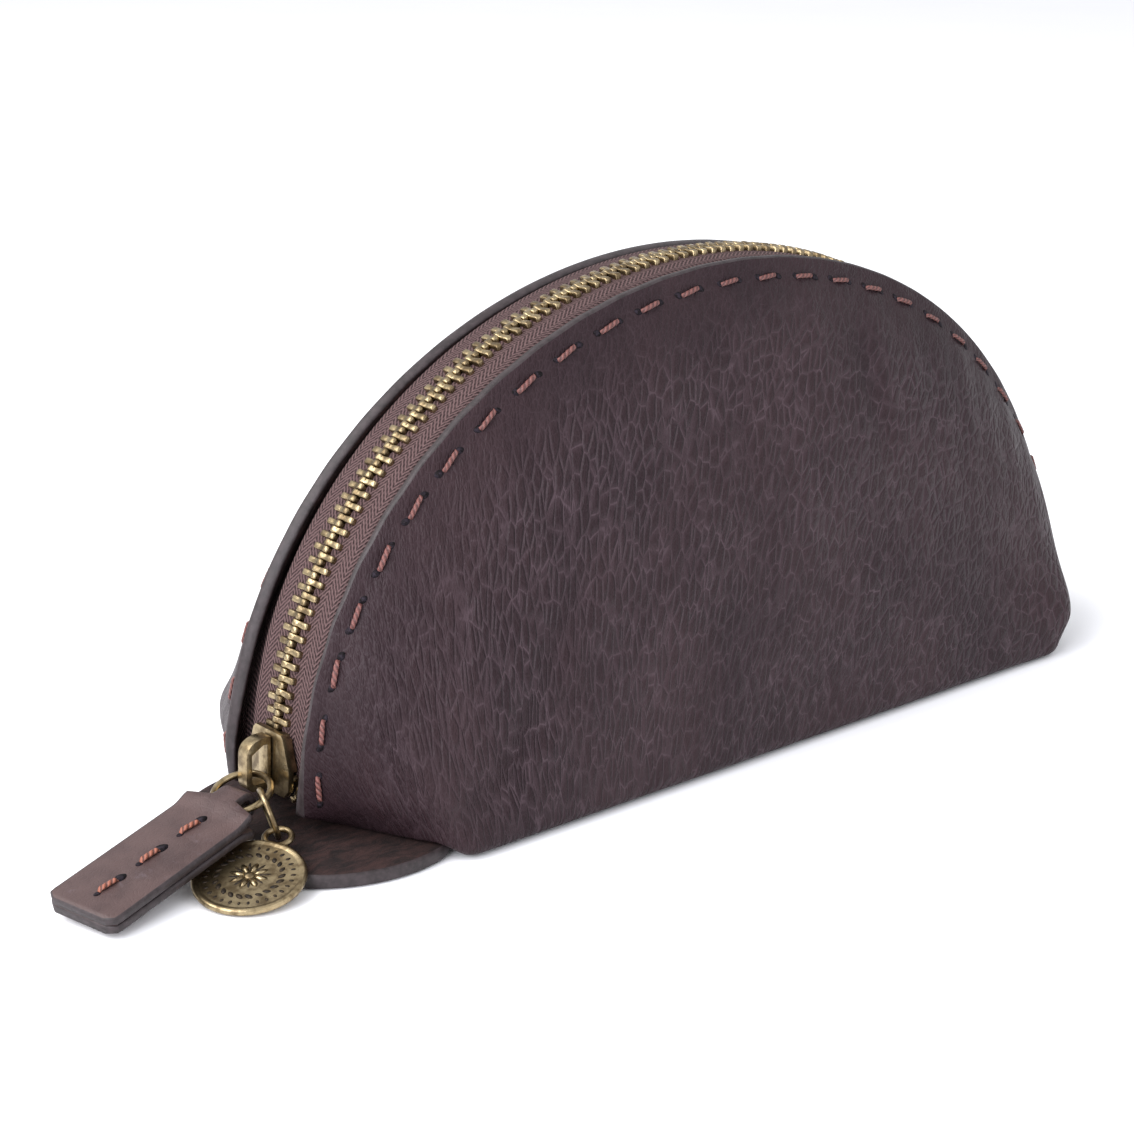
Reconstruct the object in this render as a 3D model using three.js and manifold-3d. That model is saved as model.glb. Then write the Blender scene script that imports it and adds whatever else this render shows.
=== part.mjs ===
// Zippered leather pouch: an arched coin purse that stands on a soft flat base.
// Millimetres, +Z up. The origin is the centre of the underside of the base, +X runs along
// the pouch away from the closed end of the zip, and -Y is the front.
import * as THREE from 'three';
import { mergeVertices } from 'three/addons/utils/BufferGeometryUtils.js';
import Module from 'manifold-3d';

const wasm = await Module();
wasm.setup();

// ---- driving dimensions, mm ----
const ARCH_LENGTH = 290.4; // length of the zip along its arch
const ARCH_HEIGHT = 88.8; // top of the arch above the floor
const ARCH_TURN = 1.265; // how fast the arch turns at the crown, radians per half length
const ARCH_CURL = 0.493; // extra turn that tightens the arch towards its ends
const LEATHER = 2.2; // thickness of the body leather
const GAP = 0.3; // clearance between neighbouring pieces

const RIM_Y = 10.6; // outer edge of each side panel, from the zip's centre line
const RIM_DROP = 0.5; // how far the panel edge sits below the zip at the crown
const RIM_RISE = 3.0; // how much the edge stands proud of the zip towards its ends
const RIM_MARGIN = 5.0; // length of zip left bare at each end
const FOOT_Y = 31.4; // half depth at the bottom folds
const FOOT_X = 80; // half length of the straight part of a bottom fold
const END_X = 88.5; // half length of the base at the zip's ends
const FOOT_Z = 0.35; // lower edge of the side panels
const TONGUE_LIFT = 2.5; // how much higher that edge runs over the tongue
const BULGE = 4.5; // how far a side panel swells past a straight wall

const BASE_Y = 27.6; // half width of the base panel
const BASE_THICK = 2.3;
const TONGUE_R = 24.5; // rounded tongue at the closed end of the zip
const TONGUE_AT = new THREE.Vector2(-88, -4.5);

const PITCH = 2.4; // spacing of the teeth on one tape
const TOOTH_WIDE = 0.86; // along the zip
const TOOTH_REACH = 0.75; // how far a tooth passes the centre line
const SPINE_IN = 2.0;
const SPINE_OUT = 2.9;
const CHAIN_DEEP = 2.3; // thickness of the chain of teeth
const SPLAY_FROM = 15.5; // below this the two rows of teeth part inside the slider
const SPLAY_TO = 4.5;
const SPLAY_ANGLE = THREE.MathUtils.degToRad(52);
const ROW_START = 3.4;
const ROW_END = ARCH_LENGTH - 12;
const TAPE_THICK = 0.7;
const TAPE_DEPTH = 0.8; // top of the tape below the top of the teeth
const TAPE_START = 10.0;
const TAPE_END = ARCH_LENGTH - 3;

const SLIDER_AT = 12.0; // middle of the slider along the zip
const SLIDER_TOP = 4.8;
const SLIDER_BOTTOM = -6.0;
const SLIDER_PLATE = 1.0;
const CROWN_WIDE = 2.6;
const CROWN_WIRE = 1.25;
const CROWN_HIGH = 6.4;

const PULL_RING_R = 4.85; // to the middle of the wire
const PULL_RING_WIRE = 0.6;
const PULL_RING_DIR = new THREE.Vector3(-0.88, -0.38, -0.28).normalize();
const PULL_RING_UP = new THREE.Vector3(-0.28, -0.12, 0.95);
const CHARM_RING_R = 4.15;
const CHARM_RING_WIRE = 0.5;
const CHARM_RING_NORMAL = new THREE.Vector3(0.89, -0.16, 0.42);

const PULLER_LONG = 34;
const PULLER_WIDE = 14.4;
const PULLER_NECK = 5.4;
const PULLER_LEAF = 1.4; // one of its two leather layers
const PULLER_HALF = PULLER_LEAF + 0.1;
const PULLER_AXIS = new THREE.Vector3(-0.956, -0.243, -0.166).normalize();
const PULLER_SIDE = new THREE.Vector3(-0.253, 0.96, 0.05);

const MEDAL_R = 9.3;
const MEDAL_THICK = 1.2;
const MEDAL_AT = new THREE.Vector3(-111.9, -17.5, 3.2);
const MEDAL_UP = new THREE.Vector3(-0.17, -0.13, 0.975).normalize();
const MEDAL_LUG = 11.0; // middle of the medallion to the middle of its lug hole
const MEDAL_LUG_DIR = new THREE.Vector3(0.85, 0.49, 0.2135);

const THREAD_R = 0.4;
const STITCH_LINE = 4.0; // seam below the edge of a side panel

// ---- finishes ----
const LEATHER_BROWN = { color: 0x443436, roughness: 0.55, metalness: 0 };
const STRAP_BROWN = { color: 0x4a3a38, roughness: 0.6, metalness: 0 };
const TAPE_BROWN = { color: 0x5b464a, roughness: 0.9, metalness: 0 };
const THREAD_BROWN = { color: 0x7a4a45, roughness: 0.8, metalness: 0 };
const ANTIQUE_BRASS = { color: 0xa08a66, roughness: 0.38, metalness: 1 };

const pouch = new THREE.Group();

// ---- small helpers ----
const smooth = (x) => THREE.MathUtils.smoothstep(x, 0, 1);

function addPiece(name, geometry, finish) {
  const mesh = new THREE.Mesh(geometry, new THREE.MeshStandardMaterial(finish));
  mesh.name = name;
  pouch.add(mesh);
  return mesh;
}

function geometryOf(points, triangles) {
  const geometry = new THREE.BufferGeometry().setFromPoints(points);
  geometry.setIndex(triangles);
  geometry.computeVertexNormals();
  return geometry;
}

function toSolid(geometry) {
  const bare = geometry.clone();
  bare.deleteAttribute('normal');
  bare.deleteAttribute('uv');
  const merged = mergeVertices(bare, 1e-4);
  const mesh = new wasm.Mesh({
    numProp: 3,
    vertProperties: new Float32Array(merged.attributes.position.array),
    triVerts: new Uint32Array(merged.index.array),
  });
  mesh.merge();
  return new wasm.Manifold(mesh);
}

function fromSolid(solid) {
  const { vertProperties, triVerts } = solid.getMesh();
  const geometry = new THREE.BufferGeometry();
  geometry.setAttribute('position', new THREE.BufferAttribute(new Float32Array(vertProperties), 3));
  geometry.setIndex(new THREE.BufferAttribute(new Uint32Array(triVerts), 1));
  geometry.computeVertexNormals();
  return geometry;
}

// Join rings of points into one closed body. Each ring runs out along one skin and back
// along the other, so its two halves pair up across the end faces.
function loft(rings) {
  const around = rings[0].length;
  const points = rings.flat();
  const triangles = [];
  for (let i = 0; i + 1 < rings.length; i += 1) {
    for (let j = 0; j < around; j += 1) {
      const a = i * around + j;
      const b = i * around + ((j + 1) % around);
      triangles.push(a, b, b + around, a, b + around, a + around);
    }
  }
  const last = (rings.length - 1) * around;
  for (let j = 0; j + 1 < around / 2; j += 1) {
    const k = around - 1 - j;
    triangles.push(j, k, j + 1, j + 1, k, k - 1);
    triangles.push(last + j, last + j + 1, last + k, last + j + 1, last + k - 1, last + k);
  }
  return geometryOf(points, triangles);
}

// Turn a body inside out when its faces point inwards.
function facingOut(geometry) {
  const p = geometry.attributes.position;
  const index = geometry.index.array;
  const [a, b, c] = [new THREE.Vector3(), new THREE.Vector3(), new THREE.Vector3()];
  let volume = 0;
  for (let i = 0; i < index.length; i += 3) {
    a.fromBufferAttribute(p, index[i]);
    b.fromBufferAttribute(p, index[i + 1]);
    c.fromBufferAttribute(p, index[i + 2]);
    volume += a.dot(b.cross(c));
  }
  if (volume > 0) return geometry;
  const turned = Array.from(index);
  for (let i = 0; i < turned.length; i += 3) {
    [turned[i], turned[i + 1]] = [turned[i + 1], turned[i]];
  }
  geometry.setIndex(turned);
  geometry.computeVertexNormals();
  return geometry;
}

// ---- the arch of the zip, in the plane y = 0 ----
const ARCH_STEPS = 1452;
const arch = (() => {
  const step = ARCH_LENGTH / ARCH_STEPS;
  const turn = (i) => {
    const t = (2 * i) / ARCH_STEPS - 1;
    return -(ARCH_TURN * t + ARCH_CURL * t ** 3);
  };
  const rows = [{ x: 0, z: 0, turn: turn(0) }];
  for (let i = 1; i <= ARCH_STEPS; i += 1) {
    const before = rows[i - 1];
    const middle = (turn(i) + turn(i - 1)) / 2;
    rows.push({
      x: before.x + Math.cos(middle) * step,
      z: before.z + Math.sin(middle) * step,
      turn: turn(i),
    });
  }
  const crown = rows[ARCH_STEPS / 2];
  return rows.map((row) => ({
    x: row.x - crown.x,
    z: row.z - crown.z + ARCH_HEIGHT,
    turn: row.turn,
  }));
})();

function archAt(s) {
  const i = THREE.MathUtils.clamp((s / ARCH_LENGTH) * ARCH_STEPS, 0, ARCH_STEPS - 1e-6);
  const a = arch[Math.floor(i)];
  const b = arch[Math.floor(i) + 1];
  const f = i - Math.floor(i);
  const mix = (k) => a[k] + (b[k] - a[k]) * f;
  const turn = mix('turn');
  return {
    at: new THREE.Vector3(mix('x'), 0, mix('z')),
    along: new THREE.Vector3(Math.cos(turn), 0, Math.sin(turn)),
    out: new THREE.Vector3(-Math.sin(turn), 0, Math.cos(turn)),
  };
}

// A point of the zip: s along the arch, y sideways, depth below the top of the teeth.
function zipPoint(s, y, depth) {
  const { at, out } = archAt(s);
  return new THREE.Vector3(0, y, 0).add(at).addScaledVector(out, -depth);
}

// ---- rows of teeth ----
const ROW_STEP = 0.1;
const row = (() => {
  const list = [{ s: SPLAY_FROM, away: 0, angle: 0 }];
  for (let t = SPLAY_FROM - ROW_STEP; t > 0; t -= ROW_STEP) {
    const before = list[list.length - 1];
    const angle = SPLAY_ANGLE * smooth((SPLAY_FROM - t) / (SPLAY_FROM - SPLAY_TO));
    list.push({
      s: before.s - Math.cos(angle) * ROW_STEP,
      away: before.away + Math.sin(angle) * ROW_STEP,
      angle,
    });
  }
  return list;
})();

function rowAt(t) {
  if (t >= SPLAY_FROM) return { s: t, away: 0, angle: 0 };
  return row[Math.min(Math.round((SPLAY_FROM - t) / ROW_STEP), row.length - 1)];
}

// t along a row, across outwards from the zip's centre line, side -1 front or 1 back.
function rowPoint(side, t, across, depth) {
  const { s, away, angle } = rowAt(t);
  const sideways = away + across * Math.cos(angle);
  return zipPoint(s + across * Math.sin(angle), side * sideways, depth);
}

function rowBlock(side, [t0, t1], [in0, out0], [top, bottom]) {
  const ring = (t) => [
    rowPoint(side, t, in0, top),
    rowPoint(side, t, out0, top),
    rowPoint(side, t, out0, bottom),
    rowPoint(side, t, in0, bottom),
  ];
  return facingOut(loft([ring(t0), ring(t1)]));
}

// One tape's teeth on their spine, as a comb.
function teethRow(side, first) {
  const cuts = [];
  let t = first;
  while (t + TOOTH_WIDE < ROW_END) {
    cuts.push([t, true], [t + TOOTH_WIDE, false]);
    t += PITCH;
  }
  const points = [];
  const triangles = [];
  const quad = (a, b, c, d) => triangles.push(a, b, c, a, c, d);
  const corners = [
    [-TOOTH_REACH, 0],
    [SPINE_IN, 0],
    [SPINE_OUT, 0],
    [SPINE_OUT, CHAIN_DEEP],
    [SPINE_IN, CHAIN_DEEP],
    [-TOOTH_REACH, CHAIN_DEEP],
  ];
  for (const [at] of cuts) {
    for (const [across, depth] of corners) points.push(rowPoint(side, at, across, depth));
  }
  const [TIP, IN, OUT, OUT_LOW, IN_LOW, TIP_LOW] = [0, 1, 2, 3, 4, 5];
  cuts.forEach(([, isTooth], i) => {
    const a = i * 6;
    const b = a + 6;
    if (isTooth) {
      quad(a + TIP, a + IN, a + IN_LOW, a + TIP_LOW);
      quad(b + IN, b + TIP, b + TIP_LOW, b + IN_LOW);
      quad(a + IN, a + TIP, b + TIP, b + IN);
      quad(a + TIP_LOW, a + IN_LOW, b + IN_LOW, b + TIP_LOW);
      quad(a + TIP, a + TIP_LOW, b + TIP_LOW, b + TIP);
    } else if (i + 1 < cuts.length) {
      quad(a + IN, a + IN_LOW, b + IN_LOW, b + IN);
    }
    if (i + 1 < cuts.length) {
      quad(a + OUT, a + IN, b + IN, b + OUT);
      quad(a + IN_LOW, a + OUT_LOW, b + OUT_LOW, b + IN_LOW);
      quad(a + OUT_LOW, a + OUT, b + OUT, b + OUT_LOW);
    }
  });
  const end = (cuts.length - 1) * 6;
  quad(IN, OUT, OUT_LOW, IN_LOW);
  quad(end + OUT, end + IN, end + IN_LOW, end + OUT_LOW);
  return facingOut(geometryOf(points, triangles));
}

// ---- tape: flat beside the teeth, then turned down behind the panel's edge ----
const TAPE_SECTION = [
  [7.2, 0.3],
  [7.8, 2.2],
  [8.0, 7.5],
];

// How far from the centre line the tape starts, beside a row of teeth that may be splayed.
function rowEdge(s) {
  const beside = SPINE_OUT + GAP;
  const near = row.find((r) => r.s + beside * Math.sin(r.angle) <= s) ?? row[row.length - 1];
  return near.away + beside * Math.cos(near.angle) + 0.1;
}

function tape(side) {
  const rings = [];
  const steps = 64;
  for (let i = 0; i <= steps; i += 1) {
    const s = TAPE_START + ((TAPE_END - TAPE_START) * i) / steps;
    const inner = [[rowEdge(s), 0], ...TAPE_SECTION];
    const upper = inner.map(([y, d]) => zipPoint(s, side * y, TAPE_DEPTH + d));
    const lower = inner.map(([y, d], k) => {
      const back = k > 1 ? TAPE_THICK : 0;
      return zipPoint(s, side * (y - back), TAPE_DEPTH + d + (k > 1 ? 0 : TAPE_THICK));
    });
    rings.push([...upper, ...lower.reverse()]);
  }
  return facingOut(loft(rings));
}

// ---- side panels ----
const footLine = (() => {
  const path = new THREE.Path();
  path.moveTo(-END_X, RIM_Y);
  path.lineTo(-END_X + 3.4, 19);
  path.quadraticCurveTo(-FOOT_X, FOOT_Y, -FOOT_X + 9, FOOT_Y);
  path.lineTo(FOOT_X - 9, FOOT_Y);
  path.quadraticCurveTo(FOOT_X, FOOT_Y, END_X - 3.4, 19);
  path.lineTo(END_X, RIM_Y);
  return path;
})();

function panelPoint(side, u, v, into) {
  const s = RIM_MARGIN + u * (ARCH_LENGTH - 2 * RIM_MARGIN);
  const t = (2 * s) / ARCH_LENGTH - 1;
  const rim = zipPoint(s, side * RIM_Y, RIM_DROP - RIM_RISE * t * t);
  const flat = footLine.getPointAt(u);
  const lift = TONGUE_LIFT * smooth((-FOOT_X + 6 - flat.x) / 5);
  const foot = new THREE.Vector3(flat.x, side * flat.y, FOOT_Z + lift);
  const wall = foot.clone().sub(rim);
  const ahead = zipPoint(s + 1, 0, 0).sub(zipPoint(s - 1, 0, 0));
  const out = ahead.cross(wall).normalize().multiplyScalar(side);
  const swell = BULGE * Math.sin(Math.PI * v) * Math.sin(Math.PI * u) ** 0.5;
  return rim.addScaledVector(wall, v).addScaledVector(out, swell - into);
}

function sidePanel(side) {
  const across = 52;
  const down = 7;
  const rings = [];
  for (let i = 0; i <= across; i += 1) {
    const u = i / across;
    const outer = [];
    const inner = [];
    for (let j = 0; j <= down; j += 1) {
      outer.push(panelPoint(side, u, j / down, 0));
      const lining = panelPoint(side, u, j / down, LEATHER);
      lining.z = Math.max(lining.z, outer[j].z < 2.5 ? FOOT_Z : lining.z);
      inner.push(lining);
    }
    rings.push([...outer, ...inner.reverse()]);
  }
  return facingOut(loft(rings));
}

function seamThread(side) {
  const steps = 60;
  const points = [];
  for (let i = 0; i <= steps; i += 1) {
    const u = 0.03 + (0.94 * i) / steps;
    const edge = panelPoint(side, u, 0, 0);
    const v = STITCH_LINE / edge.distanceTo(panelPoint(side, u, 1, 0));
    points.push(panelPoint(side, u, v, -(THREAD_R + GAP + 0.1)));
  }
  return wire(points, THREAD_R, 6, steps);
}

function wire(points, radius, sides, steps) {
  const section = new THREE.Shape();
  section.absarc(0, 0, radius, 0, 2 * Math.PI);
  const path = new THREE.CatmullRomCurve3(points);
  return new THREE.ExtrudeGeometry(section, { extrudePath: path, steps, curveSegments: sides / 2 });
}

// ---- base with its tongue ----
function basePanel() {
  const outline = new THREE.Shape();
  const reach = 27; // half width of the base where the corners start
  const join = Math.acos((-FOOT_X - 0.5 - TONGUE_AT.x) / TONGUE_R);
  outline.moveTo(FOOT_X - 10, BASE_Y);
  outline.lineTo(-FOOT_X + 9, BASE_Y);
  outline.lineTo(-FOOT_X - 0.2, reach - 6);
  outline.absarc(TONGUE_AT.x, TONGUE_AT.y, TONGUE_R, join, 2 * Math.PI - join, false);
  outline.lineTo(-FOOT_X + 1.5, 3 - BASE_Y);
  outline.lineTo(-FOOT_X + 9, -BASE_Y);
  outline.lineTo(FOOT_X - 10, -BASE_Y);
  outline.lineTo(END_X - 6.5, -15);
  outline.lineTo(END_X - 3.5, -6);
  outline.lineTo(END_X - 3.5, 6);
  outline.lineTo(END_X - 6.5, 15);
  return new THREE.ExtrudeGeometry(outline, {
    depth: BASE_THICK,
    bevelEnabled: false,
    curveSegments: 28,
  });
}

// ---- slider ----
function bar(shape, from, to) {
  const geometry = new THREE.ExtrudeGeometry(shape, {
    depth: to - from,
    bevelEnabled: false,
    curveSegments: 8,
  });
  return geometry.translate(0, 0, from);
}

function shapeOf(points) {
  return new THREE.Shape(points.map(([x, y]) => new THREE.Vector2(x, y)));
}

function sliderOutline() {
  return shapeOf([
    [SLIDER_TOP, -3.6],
    [SLIDER_TOP, 3.6],
    [SLIDER_TOP - 0.7, 4.3],
    [-1.2, 6.0],
    [SLIDER_BOTTOM + 1.4, 5.9],
    [SLIDER_BOTTOM, 4.6],
    [SLIDER_BOTTOM, -4.6],
    [SLIDER_BOTTOM + 1.4, -5.9],
    [-1.2, -6.0],
    [SLIDER_TOP - 0.7, -4.3],
  ]);
}

function flange(side) {
  return shapeOf([
    [SLIDER_TOP - 0.7, side * 4.3],
    [-1.2, side * 6.0],
    [-1.2, side * 5.1],
    [SLIDER_TOP - 0.7, side * 3.4],
  ]);
}

function sliderBody() {
  const top = GAP;
  const low = -CHAIN_DEEP - 2.4 * GAP; // clear of the chain where it curves away
  const tapeTop = -TAPE_DEPTH + 0.35;
  const tapeLow = -TAPE_DEPTH - TAPE_THICK - 0.75;
  const post = shapeOf([
    [SLIDER_BOTTOM + 0.6, -0.9],
    [SLIDER_BOTTOM + 2.3, -0.35],
    [SLIDER_BOTTOM + 2.3, 0.35],
    [SLIDER_BOTTOM + 0.6, 0.9],
  ]);
  let body = toSolid(bar(sliderOutline(), top, top + SLIDER_PLATE));
  body = body.add(toSolid(bar(sliderOutline(), low - SLIDER_PLATE, low)));
  body = body.add(toSolid(bar(post, low - 0.5, top + 0.5)));
  for (const side of [-1, 1]) {
    body = body.add(toSolid(bar(flange(side), tapeTop, top + 0.5)));
    body = body.add(toSolid(bar(flange(side), low - 0.5, tapeLow)));
  }
  return fromSolid(body);
}

// A loop seen from the side: a D with a flat foot on the slider.
function crown() {
  const foot = GAP + SLIDER_PLATE + GAP;
  const left = SLIDER_BOTTOM + 0.8;
  const right = SLIDER_TOP - 0.8;
  const outer = new THREE.Shape();
  outer.moveTo(left, foot);
  outer.lineTo(right, foot);
  outer.lineTo(right, foot + 1.6);
  outer.quadraticCurveTo(right - 0.4, CROWN_HIGH, right - 3, CROWN_HIGH);
  outer.lineTo(left + 2.2, CROWN_HIGH);
  outer.quadraticCurveTo(left, CROWN_HIGH, left, CROWN_HIGH - 2);
  const hole = new THREE.Path();
  const [a0, a1] = [left + CROWN_WIRE, right - CROWN_WIRE];
  const [h0, h1] = [foot + 0.7, CROWN_HIGH - CROWN_WIRE + 0.2];
  hole.moveTo(a0, h0);
  hole.lineTo(a0, h1 - 1);
  hole.quadraticCurveTo(a0, h1, a0 + 1, h1);
  hole.lineTo(a1 - 1.4, h1);
  hole.lineTo(a1, h0 + 0.8);
  hole.lineTo(a1, h0);
  outer.holes.push(hole);
  const loop = bar(outer, -CROWN_WIDE / 2, CROWN_WIDE / 2);
  return loop.rotateX(Math.PI / 2);
}

// ---- hanging pieces ----
function place(mesh, x, z, at) {
  const zAxis = z.clone().normalize();
  const xAxis = x.clone().addScaledVector(zAxis, -x.dot(zAxis)).normalize();
  const yAxis = zAxis.clone().cross(xAxis);
  mesh.setRotationFromMatrix(new THREE.Matrix4().makeBasis(xAxis, yAxis, zAxis));
  mesh.position.copy(at);
  return mesh;
}

const sliderFrame = archAt(SLIDER_AT);
const RING_HOLD = sliderFrame.at
  .clone()
  .addScaledVector(sliderFrame.along, -2.75)
  .addScaledVector(sliderFrame.out, 3.5);
const RING_MIDDLE = RING_HOLD.clone().addScaledVector(PULL_RING_DIR, PULL_RING_R);
const PULLER_HOLD = RING_MIDDLE.clone().addScaledVector(PULL_RING_DIR, PULL_RING_R);

function ringPointNearest(direction) {
  const up = PULL_RING_UP.clone().addScaledVector(PULL_RING_DIR, -PULL_RING_UP.dot(PULL_RING_DIR));
  up.normalize();
  const inPlane = direction.clone().addScaledVector(up, -direction.dot(up)).normalize();
  return RING_MIDDLE.clone().addScaledVector(inPlane, PULL_RING_R);
}

function puller() {
  const hole = 1.15;
  const loop = hole + PULLER_LEAF - 0.1;
  const side = new THREE.Shape();
  side.moveTo(PULLER_LONG, -PULLER_HALF);
  side.lineTo(PULLER_LONG, PULLER_HALF);
  side.lineTo(4.2, PULLER_HALF);
  side.quadraticCurveTo(2.4, loop - 0.4, 0.4, loop);
  side.lineTo(-1.9, loop);
  side.absarc(-1.9, 0, loop, Math.PI / 2, 1.5 * Math.PI, false);
  side.lineTo(0.4, -loop);
  side.quadraticCurveTo(2.0, -loop, 4.2, -PULLER_HALF);
  const eye = new THREE.Path();
  eye.moveTo(0.1, -hole);
  eye.absarc(0.1, 0, hole, -Math.PI / 2, Math.PI / 2, false);
  eye.absarc(-1.9, 0, hole, Math.PI / 2, 1.5 * Math.PI, false);
  side.holes.push(eye);
  const profile = bar(side, -PULLER_WIDE, PULLER_WIDE).rotateX(Math.PI / 2);

  const half = PULLER_WIDE / 2;
  const neck = PULLER_NECK / 2;
  const round = 1.6;
  const plan = new THREE.Shape();
  plan.moveTo(-6, -neck);
  plan.lineTo(0.2, -neck);
  plan.lineTo(1.4, -half);
  plan.lineTo(PULLER_LONG - round, -half);
  plan.quadraticCurveTo(PULLER_LONG, -half, PULLER_LONG, -half + round);
  plan.lineTo(PULLER_LONG, half - round);
  plan.quadraticCurveTo(PULLER_LONG, half, PULLER_LONG - round, half);
  plan.lineTo(1.4, half);
  plan.lineTo(0.2, neck);
  plan.lineTo(-6, neck);
  const outline = bar(plan, -6, 6);
  return fromSolid(toSolid(profile).intersect(toSolid(outline)));
}

// Thread along the middle of the puller, just clear of its top face.
function pullerThread() {
  const lift = PULLER_HALF + GAP + THREAD_R;
  const points = [8, 15, 22, 29].map((a) => new THREE.Vector3(a, 0, lift));
  return wire(points, THREAD_R, 6, 3);
}

function medallion() {
  const rim = 0.3;
  const t = MEDAL_THICK;
  const profile = [
    [0, 0],
    [MEDAL_R - 0.3, 0],
    [MEDAL_R, 0.3],
    [MEDAL_R, t - 0.3],
    [MEDAL_R - 0.3, t],
    [MEDAL_R - 1.0, t],
    [MEDAL_R - 1.3, t - rim],
    [0, t - rim],
  ].map(([x, y]) => new THREE.Vector2(x, y));
  const disc = new THREE.LatheGeometry(profile, 44).rotateX(Math.PI / 2);
  const lug = new THREE.Shape();
  lug.absarc(MEDAL_LUG, 0, 2.8, -0.75 * Math.PI, 0.75 * Math.PI, false);
  lug.lineTo(MEDAL_R - 1.2, 2.4);
  lug.lineTo(MEDAL_R - 1.2, -2.4);
  const eye = new THREE.Path();
  eye.absarc(MEDAL_LUG, 0, 1.75, 0, 2 * Math.PI, true);
  lug.holes.push(eye);
  return fromSolid(toSolid(disc).add(toSolid(bar(lug, 0.1, t - 0.1))));
}

// ---- assembly ----
addPiece('base_panel', basePanel(), LEATHER_BROWN);
const sides = [
  { name: 'front', side: -1, first: ROW_START },
  { name: 'back', side: 1, first: ROW_START + PITCH / 2 },
];
for (const { name, side, first } of sides) {
  addPiece(`${name}_panel`, sidePanel(side), LEATHER_BROWN);
  addPiece(`${name}_zip_tape`, tape(side), TAPE_BROWN);
  addPiece(`${name}_teeth`, teethRow(side, first), ANTIQUE_BRASS);
  const stop = rowBlock(side, [1.3, 2.9], [0.6, 2.3], [-0.3, CHAIN_DEEP + 0.3]);
  addPiece(`${name}_top_stop`, stop, ANTIQUE_BRASS);
  addPiece(`${name}_seam_thread`, seamThread(side), THREAD_BROWN);
}
const bottomStop = rowBlock(1, [ROW_END + 1, ROW_END + 5], [-2.9, 2.9], [-0.3, CHAIN_DEEP + 0.3]);
addPiece('bottom_stop', bottomStop, ANTIQUE_BRASS);

for (const [name, geometry] of [
  ['slider_body', sliderBody()],
  ['slider_crown', crown()],
]) {
  place(addPiece(name, geometry, ANTIQUE_BRASS), sliderFrame.along, sliderFrame.out, sliderFrame.at);
}

const pullRing = new THREE.TorusGeometry(PULL_RING_R, PULL_RING_WIRE, 8, 28);
place(addPiece('pull_ring', pullRing, ANTIQUE_BRASS), PULL_RING_DIR, PULL_RING_UP, RING_MIDDLE);

const pullerUp = PULLER_AXIS.clone().cross(PULLER_SIDE).negate();
place(addPiece('puller_strap', puller(), STRAP_BROWN), PULLER_AXIS, pullerUp, PULLER_HOLD);
place(addPiece('puller_thread', pullerThread(), THREAD_BROWN), PULLER_AXIS, pullerUp, PULLER_HOLD);

const LUG_AT = MEDAL_AT.clone().addScaledVector(MEDAL_LUG_DIR.clone().normalize(), MEDAL_LUG);
const CHARM_HOLD = ringPointNearest(new THREE.Vector3(0.2, -1, 0));
const charmDir = LUG_AT.clone().sub(CHARM_HOLD).normalize();
const CHARM_MIDDLE = LUG_AT.clone().addScaledVector(charmDir, -CHARM_RING_R);
const charmRing = new THREE.TorusGeometry(CHARM_RING_R, CHARM_RING_WIRE, 8, 22);
const charmUp = CHARM_RING_NORMAL.clone().addScaledVector(charmDir, -CHARM_RING_NORMAL.dot(charmDir));
place(addPiece('charm_ring', charmRing, ANTIQUE_BRASS), charmDir, charmUp, CHARM_MIDDLE);
const medalFoot = MEDAL_AT.clone().addScaledVector(MEDAL_UP, -MEDAL_THICK);
place(addPiece('medallion', medallion(), ANTIQUE_BRASS), MEDAL_LUG_DIR, MEDAL_UP, medalFoot);

export default pouch;
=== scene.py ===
import math

import bmesh
import bpy
import numpy as np
from mathutils import Matrix, Vector


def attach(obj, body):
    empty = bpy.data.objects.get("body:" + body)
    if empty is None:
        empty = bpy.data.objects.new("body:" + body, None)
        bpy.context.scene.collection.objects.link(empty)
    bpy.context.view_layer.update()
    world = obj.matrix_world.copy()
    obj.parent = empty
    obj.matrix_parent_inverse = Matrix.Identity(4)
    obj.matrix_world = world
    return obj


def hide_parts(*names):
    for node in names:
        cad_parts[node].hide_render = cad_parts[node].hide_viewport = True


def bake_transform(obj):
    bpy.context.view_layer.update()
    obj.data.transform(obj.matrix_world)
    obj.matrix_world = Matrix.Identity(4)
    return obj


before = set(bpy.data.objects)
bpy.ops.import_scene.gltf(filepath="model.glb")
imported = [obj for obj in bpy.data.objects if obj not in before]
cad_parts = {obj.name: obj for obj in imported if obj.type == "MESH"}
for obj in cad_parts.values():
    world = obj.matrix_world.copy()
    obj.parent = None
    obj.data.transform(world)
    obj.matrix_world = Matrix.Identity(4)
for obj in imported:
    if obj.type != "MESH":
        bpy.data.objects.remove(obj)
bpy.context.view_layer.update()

MM = 0.001

# ---- driving dimensions, the same as the part's ----
ARCH_LENGTH = 290.4
ARCH_HEIGHT = 88.8
ARCH_TURN = 1.265
ARCH_CURL = 0.493
LEATHER = 2.2
RIM_Y = 10.6
RIM_DROP = 0.5
RIM_RISE = 3.0
RIM_MARGIN = 5.0
FOOT_Y = 32.0
FOOT_X = 80.0
END_X = 88.5
FOOT_Z = 0.3
TONGUE_LIFT = 2.5
BULGE = 4.5
TONGUE_R = 24.5
TONGUE_AT = (-88.0, -4.5)
PITCH = 2.4
TOOTH_REACH = 0.75
SPINE_OUT = 2.9
SPLAY_FROM = 15.5
SPLAY_TO = 4.5
SPLAY_ANGLE = math.radians(52)
ROW_START = 3.4
ROW_END = ARCH_LENGTH - 12
TAPE_DEPTH = 0.8
TAPE_THICK = 0.7
TAPE_BEND = 7.7  # how far out from the middle the tape lies flat before it turns down
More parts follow.
